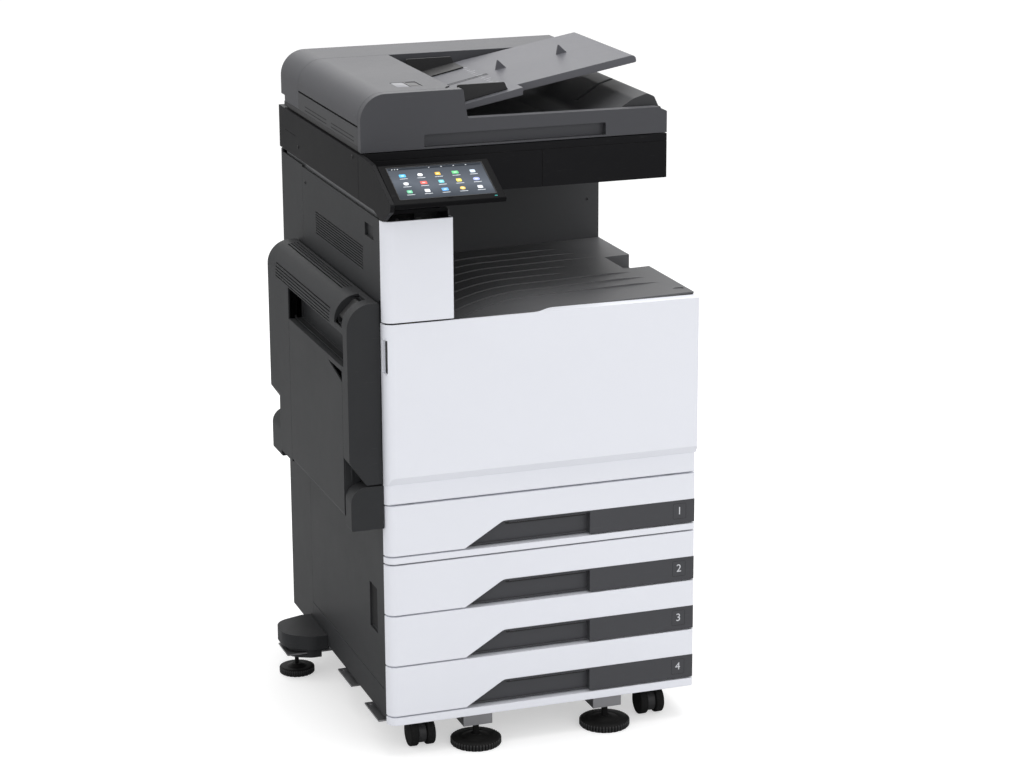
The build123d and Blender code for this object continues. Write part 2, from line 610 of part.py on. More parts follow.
def scan_rails():
    """The two carriage rails, and the scan motor with its pulley block."""
    z = SCANNER_BOTTOM + RAIL_LIFT
    rails = [rod("x", (8, SCANNER_WIDTH - 8), (y, z), RAIL_RADIUS) for y in RAIL_Y]
    motor = rod("z", (SCANNER_BOTTOM + WALL, SCANNER_BOTTOM + 45), (SCANNER_WIDTH - 42, DEPTH - 45), 22)
    return rails + [motor]


def scan_carriage():
    """The lamp and sensor carriage that rides on both rails."""
    z_rail = SCANNER_BOTTOM + RAIL_LIFT
    bar = block(CARRIAGE_X, (RAIL_Y[0] - 14, RAIL_Y[1] + 14), (z_rail + 8, SCANNER_TOP - 12))
    bar -= block((CARRIAGE_X[0] + 18, CARRIAGE_X[1] - 18), PLATEN_Y, (z_rail + 20, SCANNER_TOP))
    for y in RAIL_Y:
        bar += block(CARRIAGE_X, (y - 14, y + 14), (z_rail - 4, z_rail + 9))
        bar -= rod("x", (0, 200), (y, z_rail), RAIL_RADIUS + RUN)
    return bar


# Control panel and its console.
def tilted(u, v):
    """A (Y, Z) point from a distance along the panel's face and one above it."""
    angle = math.radians(PANEL_TILT)
    y = PANEL_FRONT[0] + u * math.cos(angle) - v * math.sin(angle)
    z = PANEL_FRONT[1] + u * math.sin(angle) + v * math.cos(angle)
    return (y, z)


PANEL_PIVOT = tilted(10.5, -6)


def panel_console():
    """The black side wedge beside the panel, its neck and the pivot pins."""
    top = tilted(PANEL_LENGTH, 0)
    side = [
        (SCANNER_FRONT - SEAM, SCANNER_BOTTOM),
        (SCANNER_FRONT - SEAM, SCANNER_TOP),
        (top[0] + 50, SCANNER_TOP, 20),
        (top[0] + 5, top[1] + 1, 15),
        (PANEL_FRONT[0] - 1, PANEL_FRONT[1] + 1, 4),
        (PANEL_FRONT[0] + 4, PANEL_FRONT[1] - 12, 5),
        (-DOOR_BULGE, SCANNER_BOTTOM - 9, 3),
        (6, SCANNER_BOTTOM - 9),
        (40, SCANNER_BOTTOM),
    ]
    wedge = along("x", side, (0, PANEL_LEFT - FREE))
    sill_z = (SCANNER_BOTTOM - 8.5, SCANNER_BOTTOM - 4)
    sill = block((WALL + 1, COLUMN_WIDTH - WALL - 1), (12, 44), (SCANNER_BOTTOM - 4, SCANNER_BOTTOM + 3))
    sill += block((WALL + 1, PANEL_LEFT - FREE), (2, 30), (sill_z[0], SCANNER_BOTTOM))
    post = block(
        (PANEL_LUG_X - 22, PANEL_LUG_X - 3), (60, SCANNER_FRONT - SEAM),
        (SCANNER_BOTTOM, SCANNER_BOTTOM + 30),
    )
    bridge = block((2, COLUMN_WIDTH - 4), (40, SCANNER_FRONT - SEAM), (SCANNER_BOTTOM, SCANNER_BOTTOM + 3))
    y, z = PANEL_PIVOT
    arm = [(70, SCANNER_BOTTOM + 20), (70, SCANNER_BOTTOM + 1), (44, SCANNER_BOTTOM + 1)]
    arm += [(30, SCANNER_BOTTOM - 4), (y - 1, z - 4.6), (y - 1, z + 1)]
    neck_x = (PANEL_LUG_X - 10, PANEL_LUG_X - 3)
    neck = along("x", arm, neck_x) + rod("x", neck_x, (y, z), 4.6)
    pins = rod("x", (PANEL_LEFT - FREE - 1, PANEL_LEFT + 5), (y, z), PIN)
    pins += rod("x", (PANEL_LUG_X - 4, PANEL_LUG_X + 6), (y, z), PIN)
    return wedge + sill + post + bridge + neck + pins


def control_panel():
    x = (PANEL_LEFT, PANEL_LEFT + PANEL_WIDTH)
    corners = [
        tilted(0, 0) + (3,), tilted(PANEL_LENGTH, 0) + (3,), tilted(PANEL_LENGTH, -PANEL_THICK) + (3,),
    ]
    corners += [tilted(0, -PANEL_THICK + 2) + (3,)]
    slab = along("x", corners, x)
    window = [tilted(16, 1), tilted(PANEL_LENGTH - 10, 1), tilted(PANEL_LENGTH - 10, -2), tilted(16, -2)]
    slab -= along("x", window, (x[0] + 14, x[1] - 14))
    y, z = PANEL_PIVOT
    slab += rod("x", (PANEL_LUG_X - 2, PANEL_LUG_X + 6), (y, z), 5.9)
    notch_x = (PANEL_LUG_X - 11, PANEL_LUG_X - 2)
    slab -= rod("x", notch_x, (y, z), 5.9)
    slab -= along(
        "x", [(y - 4, z - 10), (90, SCANNER_BOTTOM), (90, SCANNER_BOTTOM + 22), (y, z + 3)], notch_x,
    )
    slab -= rod("x", (PANEL_LEFT - 1, PANEL_LEFT + 6), (y, z), PIN + RUN)
    return slab - rod("x", (PANEL_LUG_X - 3, PANEL_LUG_X + 7), (y, z), PIN + RUN)


def touch_screen():
    window = [
        tilted(16.2, -0.4), tilted(PANEL_LENGTH - 10.2, -0.4), tilted(PANEL_LENGTH - 10.2, -2),
        tilted(16.2, -2),
    ]
    x = (PANEL_LEFT + 14.2, PANEL_LEFT + PANEL_WIDTH - 14.2)
    return along("x", window, x)


# Document feeder.
def hinge_clearance(reach):
    """The space that the fixed hinge blocks need inside the lid."""
    holes = []
    for x in LID_HINGES:
        holes.append(rod("x", (x - 12 - FREE, x + 12 + FREE), (LID_HINGE_Y, LID_HINGE_Z), reach))
    return holes


def lid_hinges():
    blocks = []
    for x in LID_HINGES:
        z = (SCANNER_TOP, LID_HINGE_Z)
        stand = block((x - 12, x + 12), (LID_HINGE_Y - 8, LID_HINGE_Y + 8), z)
        stand += rod("x", (x - 12, x + 12), (LID_HINGE_Y, LID_HINGE_Z), 8)
        stand += rod("x", (x - 26, x + 26), (LID_HINGE_Y, LID_HINGE_Z), PIN + 1)
        blocks.append(stand)
    return blocks


def adf_base():
    front = SCANNER_FRONT + 18 + SEAM
    z = (FEEDER_BOTTOM, FEEDER_BOTTOM + 9)
    plate = block((5, SCANNER_WIDTH), (front, LID_HINGE_Y - 12), z)
    plate -= block(PAD_X, PAD_Y, (z[0] - 1, z[0] + WALL))
    for x in LID_HINGES:
        barrel = rod("x", (x - 30, x + 30), (LID_HINGE_Y, LID_HINGE_Z), 9.5)
        barrel += block((x - 30, x + 30), (LID_HINGE_Y - 14, LID_HINGE_Y), (z[0], LID_HINGE_Z + 9))
        plate += barrel
    for hole in hinge_clearance(17.5):
        plate -= hole
    for x in LID_HINGES:
        plate -= rod("x", (x - 27, x + 27), (LID_HINGE_Y, LID_HINGE_Z), PIN + 1 + RUN)
    return plate


def document_pad():
    gap = 0.3
    x = (PAD_X[0] + gap, PAD_X[1] - gap)
    y = (PAD_Y[0] + gap, PAD_Y[1] - gap)
    return block(x, y, (SCANNER_TOP + 0.6, FEEDER_BOTTOM + WALL - gap))


def feeder_profile(right, foot, inset=0.0):
    """The feeder's (X, Z) outline: a round left shoulder, a flat top and a straight right end."""
    top = FEEDER_TOP - inset
    left = 5 + inset
    return [(left, foot), (left, top, 48 - inset), (right, top, 1.0), (right, foot)]


def adf_covers():
    y = (SCANNER_FRONT, SCANNER_FRONT + 18)
    top, rail, foot = FEEDER_TOP, RAIL_TOP, FEEDER_BOTTOM
    corners = [(5, foot), (5, top, 48), (197, top, 4), (205, rail + 3, 5)]
    corners += [(SCANNER_WIDTH - 18, rail, 8), (SCANNER_WIDTH, rail - 8, 3), (SCANNER_WIDTH, foot)]
    front = along("y", corners, y)
    back = (y[0] + WALL + 1, y[1] + 1)
    front -= block((9, 119), back, (foot + 4, top - 50))
    front -= block((40, 119), back, (foot + 4, top - 8))
    front -= block((119, 190), back, (foot + 31, top - 5))
    front -= block((190, SCANNER_WIDTH - 116), back, (foot + 31, rail - 4))
    front -= block((SCANNER_WIDTH - 116, SCANNER_WIDTH - 6), back, (foot + 4, rail - 10))
    end = SCANNER_WIDTH - 120
    recess = [(123, foot + 3), (end, foot + 3), (end, foot + 26, 3), (123, foot + 26, 3)]
    front -= along("y", recess, (y[0] - 1, y[0] + 14))
    low = foot + 9 + SEAM
    shell = along("y", feeder_profile(SCANNER_WIDTH, low), (FEEDER_REAR, DEPTH - 3))
    slope = [(0, low - 1), (SCANNER_WIDTH + 10, low - 1), (SCANNER_WIDTH + 10, low + 40)]
    slope += [(SCANNER_WIDTH - 30, top + 1), (0, top + 1)]
    shell = shell & along("y", slope, (BAY_REAR, DEPTH))
    inside = (FEEDER_REAR + WALL, DEPTH - 3 - WALL)
    shell -= along("y", feeder_profile(SCANNER_WIDTH - 34, low - 1, WALL), inside)
    shell -= block((SCANNER_WIDTH - 90, SCANNER_WIDTH - 4), inside, (low - 1, low + 30))
    shell -= block((0, WIDTH), (LID_HINGE_Y - 16, DEPTH), (low - 1, LID_HINGE_Z + 10.5))
    for hole in hinge_clearance(18):
        shell -= hole
    return [front, shell]


def adf_feeder_frame():
    """The dark works under the feeder's top cover and the delivery tray to their right."""
    z0 = FEEDER_BOTTOM + 9 + REST
    y = (SCANNER_FRONT + 18 + SEAM, FEEDER_REAR - SEAM)
    frame = block((5, 196), y, (z0, z0 + 33))
    frame -= block((9, 192), (y[0] + 4, y[1] - 4), (z0 + 3, z0 + 35))
    for span in ((y[0] + 3, y[0] + 8), (y[1] - 8, y[1] - 3)):
        wall = [
            (27, z0 + 30), (27, FEEDER_TOP - 34, 14), (60, FEEDER_TOP - 10, 20), (168, FEEDER_TOP - 10, 5),
        ]
        wall += [(182, z0 + 60), (192, z0 + 30)]
        frame += along("y", wall, span)
        frame += rod("y", span, COVER_PIVOT, 4.5)
        frame += block((COVER_PIVOT[0], 30), span, (COVER_PIVOT[1] - 4.5, COVER_PIVOT[1] + 4.5))
    ramp = [
        (30, z0 + 3), (30, z0 + 52, 20), (120, z0 + 74, 30), (186, z0 + 52), (186, z0 + 48),
        (120, z0 + 70, 30), (34, z0 + 48, 16), (34, z0 + 3),
    ]
    frame += along("y", ramp, (y[0] + 8, y[1] - 8))
    frame -= rod("y", y, (FEED_ROLLER[0], FEED_ROLLER[1]), 4 + RUN)
    frame -= block(
        (FEED_ROLLER[0] - 16, FEED_ROLLER[0] + 16), (ROLLER_Y[0] - 2, ROLLER_Y[1] + 2),
        (z0 + 36, FEEDER_TOP),
    )
    end = SCANNER_WIDTH - 2
    tray = [(196, z0), (end, z0), (end, z0 + 28), (end - 12, z0 + 54, 8), (end - 26, z0 + 60, 8)]
    tray += [(end - 53, z0 + 52, 20), (end - 118, z0 + 12, 30), (end - 168, z0 + 5, 20), (196, z0 + 5)]
    floor = along("y", tray, (y[0], y[1]))
    floor -= block((end - 110, end - 4), (y[0] + 4, y[1] - 4), (z0 - 1, z0 + 9))
    floor -= block((end - 148, end + 12), (y[0] - 1, y[0] + 10), (z0 + 36, z0 + 90))
    floor -= block((end - 148, end + 12), (330, 342), (z0 + 22, z0 + 90))
    frame += floor
    for span in ((TRAY_Y_LOW[0] - 8, TRAY_Y_LOW[0] - FREE), (TRAY_Y_LOW[1] + FREE, TRAY_Y_LOW[1] + 8)):
        ear = [
            (197, z0 + 4), (222, z0 + 4), (222, TRAY_PIVOT[1] + 1, 5), (205, TRAY_PIVOT[1] + 7, 5),
            (197, TRAY_PIVOT[1] + 7),
        ]
        frame += along("y", ear, span)
    pins = [
        rod("y", (TRAY_Y_LOW[0] - 6, TRAY_Y_LOW[0] + 5), TRAY_PIVOT, PIN),
        rod("y", (TRAY_Y_LOW[1] - 5, TRAY_Y_LOW[1] + 6), TRAY_PIVOT, PIN),
        rod("y", (y[0] + 3, y[1] - 3), COVER_PIVOT, PIN),
    ]
    for pin in pins:
        frame += pin
    return frame


def adf_feed_roller():
    roller = rod("y", ROLLER_Y, FEED_ROLLER, 13)
    return roller + rod("y", (SCANNER_FRONT + 24, FEEDER_REAR - 6), FEED_ROLLER, 4)


def adf_top_cover():
    y = (SCANNER_FRONT + 18 + SEAM + 0.4, FEEDER_REAR - SEAM - 0.4)
    foot = FEEDER_BOTTOM + 46
    shell = along("y", feeder_profile(FEEDER_WIDTH, foot), y)
    shell -= along("y", feeder_profile(FEEDER_WIDTH + 5, foot - 1, WALL), (y[0] - 1, y[1] + 1))
    shell -= rod("z", (foot - 1, FEEDER_TOP + 1), (FEEDER_WIDTH + 12, y[0]), 26)
    hub_span = (y[0] + 12, y[0] + 24), (y[1] - 24, y[1] - 12)
    for span in hub_span:
        hub = rod("y", span, COVER_PIVOT, 6) + block(
            (5, COVER_PIVOT[0]), span, (COVER_PIVOT[1] - 5, COVER_PIVOT[1] + 6),
        )
        shell += hub & block((5, 60), span, (foot, FEEDER_TOP))
    for span in ((y[0] - 1, y[0] + 10), (y[1] - 10, y[1] + 1)):
        shell -= rod("y", span, COVER_PIVOT, 5.5)
    shell -= rod("y", (y[0] - 1, y[1] + 1), COVER_PIVOT, PIN + RUN)
    latch = [(92, 190, 2), (140, 190, 2), (140, 240, 2), (92, 240, 2)]
    return shell - along("z", latch, (FEEDER_TOP - 1.5, FEEDER_TOP + 1))


def tray_top(x):
    """Height of the document tray's surface at x."""
    knee = TRAY_LOW_Z + SLOPE_LOW * (TRAY_KNEE - TRAY_START)
    if x <= TRAY_KNEE:
        return TRAY_LOW_Z + SLOPE_LOW * (x - TRAY_START)
    return knee + SLOPE_HIGH * (x - TRAY_KNEE)


def adf_input_tray():
    low = [(TRAY_START, tray_top(TRAY_START)), (TRAY_KNEE, tray_top(TRAY_KNEE))]
    low += [(TRAY_KNEE, tray_top(TRAY_KNEE) - TRAY_THICK), (TRAY_START, tray_top(TRAY_START) - 11)]
    tray = along("y", low, TRAY_Y_LOW)
    end = tray_top(TRAY_END)
    high = [(TRAY_KNEE, tray_top(TRAY_KNEE)), (TRAY_END, end, 8), (TRAY_END + 2, end - TRAY_THICK, 3)]
    high += [(TRAY_KNEE, tray_top(TRAY_KNEE) - TRAY_THICK)]
    tray += along("y", high, TRAY_Y_HIGH)
    under = [(TRAY_START + 16, tray_top(TRAY_START + 16) - WALL), (TRAY_KNEE, tray_top(TRAY_KNEE) - WALL)]
    under += [(TRAY_END - 8, tray_top(TRAY_END - 8) - WALL), (TRAY_END - 8, end - 30)]
    under += [(TRAY_START + 16, FEEDER_TOP - 86)]
    tray -= along("y", under, (TRAY_Y_HIGH[0] + 5, TRAY_Y_HIGH[1] - 5))
    for x in (356, 478):
        base = tray_top(x) - 1
        fin = [(x - 10, base - 2), (x + 12, base + 2), (x - 6, base + 19, 1)]
        tray += along("y", fin, (388, 392))
    tray += rod("y", (TRAY_Y_LOW[0], TRAY_Y_LOW[0] + 12), TRAY_PIVOT, 6)
    tray += rod("y", (TRAY_Y_LOW[1] - 12, TRAY_Y_LOW[1]), TRAY_PIVOT, 6)
    for span in ((TRAY_Y_LOW[0] - 1, TRAY_Y_LOW[0] + 8), (TRAY_Y_LOW[1] - 8, TRAY_Y_LOW[1] + 1)):
        tray -= rod("y", span, TRAY_PIVOT, PIN + RUN)
    return tray


def adf_guide(face, inner):
    """A width guide standing on the tray at Y face, with its foot reaching towards inner."""
    top = FEEDER_TOP - 7
    left, right = TRAY_START + 6, TRAY_KNEE - 24
    foot = REST
    corners = [
        (left, tray_top(left) + foot),
        (left, top, 3),
        (right - 6, top, 4),
        (right, tray_top(right) + foot),
    ]
    wall = along("y", corners, (min(face, face + 4), max(face, face + 4)))
    plate = [(left, tray_top(left) + foot), (left, tray_top(left) + foot + 2.5)]
    plate += [(right, tray_top(right) + foot + 2.5), (right, tray_top(right) + foot)]
    span = (min(face, inner), max(face, inner))
    return wall + along("y", plate, span)


# Front door and left unit.
def door_pins():
    """The front door's two hinge brackets, which reach forward from the engine floor."""
    brackets = []
    y = INNER_COVER_Y
    for x in DOOR_ARMS:
        arm = block((x, x + 6), (DOOR_HINGE_Y, y), (DOOR_HINGE_Z - 4.2, DOOR_HINGE_Z + 4.2))
        arm += rod("x", (x, x + 6), (DOOR_HINGE_Y, DOOR_HINGE_Z), 4.2)
        arm += rod("x", (x - 9, x + 15), (DOOR_HINGE_Y, DOOR_HINGE_Z), 2.5)
        arm += block((x - 8, x + 14), (y - 3, y), (DOOR_HINGE_Z - 12, DOOR_HINGE_Z + 12))
        brackets.append(arm)
    return brackets


def front_door():
    """A hollow door whose upper part bulges forward, with a finger pocket and four hinge lugs."""
    face = -DOOR_BULGE
    back = DOOR_BACK
    step = DOOR_BOTTOM + 52
    right = WIDTH - 1
    low = along("z", [(0, 0, 13), (right, 0, 5), (right, back), (0, back)], (DOOR_BOTTOM, DOOR_TOP))
    low -= block((-1, WIDTH), (-1, back + 1), (step - 14, DOOR_TOP + 1))
    high = along("z", [(0, face, 18), (right, face, 5), (right, back), (0, back)], (step - 14, DOOR_TOP))
    bevel = [(face - 1, step - 16), (-0.2, step - 16), (face - 1, step + 2)]
    high -= along("x", bevel, (-1, WIDTH + 1))
    x = (WALL, right - WALL)
    low -= along(
        "z", [(x[0], WALL, 10), (x[1], WALL, 2), (x[1], back + 1), (x[0], back + 1)],
        (DOOR_BOTTOM + WALL, step - 13),
    )
    hollow = along(
        "z", [(x[0], face + WALL, 15), (x[1], face + WALL, 2), (x[1], back + 1), (x[0], back + 1)],
        (step - 9, DOOR_TOP - WALL),
    )
    side = [
        (-1.5, step - 9), (face + WALL, step + 1.5), (face + WALL, DOOR_TOP), (back + 1, DOOR_TOP),
        (back + 1, step - 9),
    ]
    door = low + high - (hollow & along("x", side, (0, WIDTH)))
    thin_top = [(WALL, face + WALL, 15), (286, face + WALL, 30), (317, back + 0.1, 30)]
    thin_top += [(360, back + 0.1), (360, back + 2), (WALL, back + 2)]
    door -= along("z", thin_top, (DOOR_TOP - WALL - 1, DOOR_TOP + 1))
    edge = [(-1, DOOR_BOTTOM - 1), (2.5, DOOR_BOTTOM - 1), (-1, DOOR_BOTTOM + 2.5)]
    door -= along("x", edge, (-1, WIDTH))
    door -= block((-1, 7), (face - 1, 6), (DOOR_TOP - 89, DOOR_TOP - 28))
    cup = block((WALL, 9), (face + WALL, 9), (DOOR_TOP - 92, DOOR_TOP - 25))
    door += cup - block((-1, 6), (face - 1, 6), (DOOR_TOP - 89, DOOR_TOP - 28))
    for x_arm in DOOR_ARMS:
        for span in ((x_arm - 10, x_arm - FREE), (x_arm + 6 + FREE, x_arm + 16)):
            lug = rod("x", span, (DOOR_HINGE_Y, DOOR_HINGE_Z), 4.8)
            lug += block(span, (1, DOOR_HINGE_Y), (DOOR_HINGE_Z - 4, DOOR_HINGE_Z + 4))
            door += lug
        door -= block(
            (x_arm - FREE, x_arm + 6 + FREE), (WALL, back + 1), (DOOR_BOTTOM - 1, DOOR_BOTTOM + WALL + 1),
        )
        door -= rod("x", (x_arm - 9.5, x_arm + 15.5), (DOOR_HINGE_Y, DOOR_HINGE_Z), 2.5 + RUN)
    return door


def left_door():
    """The hinged left unit: its case, the front and rear columns and the pivot arms."""
    y = (SIDE_FRONT, SIDE_FRONT + SIDE_UNIT_LENGTH)
    outer = SIDE_UNIT_DEPTH
    foot = HINGE_Z + HINGE_BOX + 3
    corners = [
        (-1.5, foot), (-1.5, SIDE_UNIT_TOP, 4), (-outer, SIDE_UNIT_TOP, 45), (-outer, foot + 45, 6),
        (HINGE_X + 2, foot, 5),
    ]
    case = along("y", corners, y)
    hollow = [
        (-6, foot + 4), (-6, SIDE_UNIT_TOP - 4), (-outer + 30, SIDE_UNIT_TOP - 4, 10),
        (-outer + WALL, SIDE_UNIT_TOP - 45, 10),
    ]
    hollow += [(-outer + WALL, foot + 48), (HINGE_X + 2, foot + 4)]
    case -= along("y", hollow, (y[0] + 5, y[1] - 5))
    case -= block((-7, 0), (90, 450), (foot + 30, SIDE_UNIT_TOP - 70))
    lower = block((-outer + 13, HINGE_X + 4), (BYPASS_FRONT, ARM_REAR), (SIDE_UNIT_BOTTOM, foot + 8))
    lower += block((-outer, -outer + 14), (BYPASS_REAR + FREE, ARM_REAR), (SIDE_UNIT_BOTTOM, foot + 48))
    case += lower
    bay = block(
        (-outer - 1, -outer + 13), (BYPASS_FRONT - FREE, BYPASS_REAR + FREE),
        (SIDE_UNIT_BOTTOM - 1, BYPASS_TOP + 1),
    )
    case -= bay
    case += block((-outer + 13, -outer + 16), (BYPASS_FRONT - 4, BYPASS_REAR + 4), (foot, BYPASS_TOP + 4))
    scoop = block((-outer - 1, -outer + 30), (38, BYPASS_REAR + FREE), (BYPASS_TOP, SIDE_UNIT_TOP - 58))
    back = block((-outer + 27, -outer + 33), (34, BYPASS_REAR + 5), (BYPASS_TOP - 4, SIDE_UNIT_TOP - 50))
    case += back
    case += block(
        (-outer + 4, -outer + 30), (34, BYPASS_REAR + 5), (SIDE_UNIT_TOP - 58, SIDE_UNIT_TOP - 54),
    )
    case -= scoop
    case += block(
        (-outer + 13, -outer + 28), (BYPASS_FRONT - 4, BYPASS_REAR + 4), (BYPASS_TOP - 4, BYPASS_TOP - 1),
    )
    latch_well = block((-outer - 1, -16), (44, 92), (SIDE_UNIT_TOP - 48, SIDE_UNIT_TOP + 1))
    well = block((-outer + 8, -12), (40, 96), (SIDE_UNIT_TOP - 52, SIDE_UNIT_TOP - 6)) & along(
        "y", corners, y,
    )
    case += well
    case -= latch_well
    case = cut_slots(
        case, (-outer - 1, -outer + 8), (125, SIDE_UNIT_REAR - 60), SIDE_UNIT_TOP - 56, 5, 6, 2.6,
    )
    for i in range(4):
        x = -30 + i * 6
        case -= block((x, x + 2.6), (150, SIDE_UNIT_REAR - 35), (SIDE_UNIT_TOP - 9, SIDE_UNIT_TOP + 1))
    for span in ((BYPASS_FRONT, BYPASS_FRONT + 10), (ARM_REAR - 10, ARM_REAR)):
        case += rod("y", span, (HINGE_X, HINGE_Z), 7)
    for span in ((36, BYPASS_FRONT + 2), (ARM_REAR - 2, ARM_REAR + 12)):
        case += rod("y", span, (HINGE_X, HINGE_Z), PIN + 1)
    for span in (
        (BYPASS_FRONT - FREE - 3, BYPASS_FRONT - FREE + 8), (BYPASS_REAR - 8, BYPASS_REAR + FREE + 3),
    ):
        case += rod("y", span, BYPASS_PIVOT, PIN)
    case += block((-outer + 2, HINGE_X), (47.5, 49), (SIDE_UNIT_BOTTOM, foot + 48))
    return case


def bypass_tray():
    outer = SIDE_UNIT_DEPTH
    y = (BYPASS_FRONT, BYPASS_REAR)
    x = (-outer, -outer + 11.5)
    low = SIDE_UNIT_BOTTOM + 2
    panel = block(x, y, (BYPASS_PIVOT[1], BYPASS_TOP - FREE))
    panel += rod("y", y, BYPASS_PIVOT, 5.8)
    panel -= block((x[0] + WALL, x[1] + 1), (y[0] + 5, y[1] - 5), (low + 24, BYPASS_TOP - 6))
    for i in range(3):
        rib = y[0] + 90 * (i + 1)
        panel += block((x[0] + 1, x[1]), (rib, rib + 2), (low + 23, BYPASS_TOP - 4))
    crest = [
        (y[0] - 1, BYPASS_TOP + 1), (y[0] - 1, BYPASS_TOP - 10, 0), (141, BYPASS_TOP - 10, 20),
        (190, BYPASS_TOP + 1, 20),
    ]
    panel -= along("x", crest, (x[0] - 1, x[0] + WALL + 6))
    for span in ((y[0] - 1, y[0] + 8), (y[1] - 8, y[1] + 1)):
        panel -= rod("y", span, BYPASS_PIVOT, PIN + RUN)
    return panel


def left_door_latch():
    """The black squeeze lever in the well on the left unit's top edge."""
    y = (45, 91)
    corners = [
        (-26, SIDE_UNIT_TOP - 8, 3), (-20, SIDE_UNIT_TOP - 8, 3), (-20, SIDE_UNIT_TOP - 18, 3),
        (-50, SIDE_UNIT_TOP - 40, 3),
    ]
    corners += [(-54, SIDE_UNIT_TOP - 36, 3)]
    lever = along("y", corners, y) + rod("y", y, LATCH_PIVOT, 5)
    return lever - rod("y", (y[0] - 1, y[1] + 1), LATCH_PIVOT, 2 + RUN)


def latch_pin():
    return rod("y", (42, 94), LATCH_PIVOT, 2)


def side_housings():
    """The left unit's two hinge boxes and the rear stabiliser's two-layer housing."""
    pieces = []
    ends = (((10, 46), (34, 47)), ((ARM_REAR + 1.5, SIDE_UNIT_REAR), (ARM_REAR + 1, ARM_REAR + 15)))
    foot = SIDE_UNIT_BOTTOM - 14
    for span, bore in ends:
        corners = [(-REST, foot), (-REST, HINGE_Z + HINGE_BOX), (HINGE_X, HINGE_Z + HINGE_BOX)]
        corners += [
            (HINGE_X - HINGE_BOX, HINGE_Z + HINGE_BOX, HINGE_BOX - 0.01), (HINGE_X - HINGE_BOX, foot, 4),
        ]
        box = along("y", corners, span)
        box -= rod("y", bore, (HINGE_X, HINGE_Z), PIN + 1 + RUN)
        pieces.append(box)
    x, y = STABILISER
    high = [
        (-REST, y - 62), (-REST, y + 66), (-20, y + 66, 15), (-80, y + 45, 40), (-80, y - 30, 45),
        (-30, y - 62, 30),
    ]
    low = [(-10, y - 50), (-10, y + 55), (-72, y + 38, 36), (-72, y - 30, 38), (-30, y - 50, 20)]
    housing = along("z", high, (64, 92))
    shelf = along("z", low, (44, 64))
    shelf -= block((-90, 30), (y - 46, y + 26), (50, 57))
    shelf -= rod("z", (30, 66), (x, y), 9)
    housing -= rod("z", (60, 84), (x, y), 9)
    pieces.append(housing + shelf)
    return pieces


# Feet.
def caster_fork(place):
    """The swivelling hood of a twin-wheel caster, its stem and the wheels' axle."""
    x, y = place
    z = WHEEL_RADIUS
    axle_y = y - CASTER_TRAIL
    plate_foot = BASE_BOTTOM - 4
    hood = rod("x", (x - 7, x + 7), (axle_y, z), WHEEL_RADIUS - 5)
    hood += block((x - 7, x + 7), (axle_y, y + 9), (z - 4, 2 * z + 2))
    cap = rod("z", (2 * z + FREE, plate_foot - FREE), place, 17)
    stem = rod("z", (2 * z - 2, BASE_BOTTOM + 7), place, 7)
    axle = rod("x", (x - 22, x + 22), (axle_y, z), 4)
    return hood + cap + stem + axle


def caster_wheels(place):
    x, y = place
    axle_y = y - CASTER_TRAIL
    wheels = []
    for span in ((x - 24, x - 8), (x + 8, x + 24)):
        wheel = rod("x", span, (axle_y, WHEEL_RADIUS), WHEEL_RADIUS)
        wheel = fillet(wheel.edges().filter_by(GeomType.CIRCLE), 3)
        wheels.append(wheel - rod("x", (x - 22.5, x + 22.5), (axle_y, WHEEL_RADIUS), 4 + RUN))
    return wheels


def leveler(place, radius, stem_radius, stem_top):
    """A screw foot: ribbed disc, cone and stem."""
    x, y = place
    foot = rod("z", (0, 8), place, radius)
    for i in range(24):
        angle = 2 * math.pi * i / 24
        foot -= rod("z", (-1, 6), (x + radius * math.cos(angle), y + radius * math.sin(angle)), 1.8)
    cone = Pos(x, y, 13) * Cone(radius - 2, stem_radius + 5, 10)
    return foot + cone + rod("z", (8, stem_top), place, stem_radius)


# Paper trays.
def grip_outline(z0, inset):
    """The dark handle band's (X, Z) outline on the tray front, drawn in by inset."""
    foot = z0 - FREE if inset == 0 else z0
    right = WIDTH + FREE if inset == 0 else WIDTH - FREE
    top = z0 + GRIP_HEIGHT - inset
    lean = GRIP_LEAN / GRIP_HEIGHT
    left = GRIP_LEFT + 2 * inset
    return [
        (left + lean * (foot - z0), foot), (left + lean * (top - z0), top, 20), (right, top), (right, foot),
    ]


def tray_front(z0):
    front = front_corner((0, WIDTH), 0, 18, (z0, z0 + TRAY_HEIGHT))
    across = (WALL + 2, WIDTH - WALL - 2)
    front -= corner_hollow(across, (WALL, 30), 14, (z0 + WALL, z0 + TRAY_HEIGHT - WALL))
    front -= along("y", grip_outline(z0, 0), (-1, 30))
    lip = block((GRIP_LEFT + 70, WIDTH - 5), (0, 14), (z0 + GRIP_HEIGHT, z0 + GRIP_HEIGHT + WALL))
    return front + lip


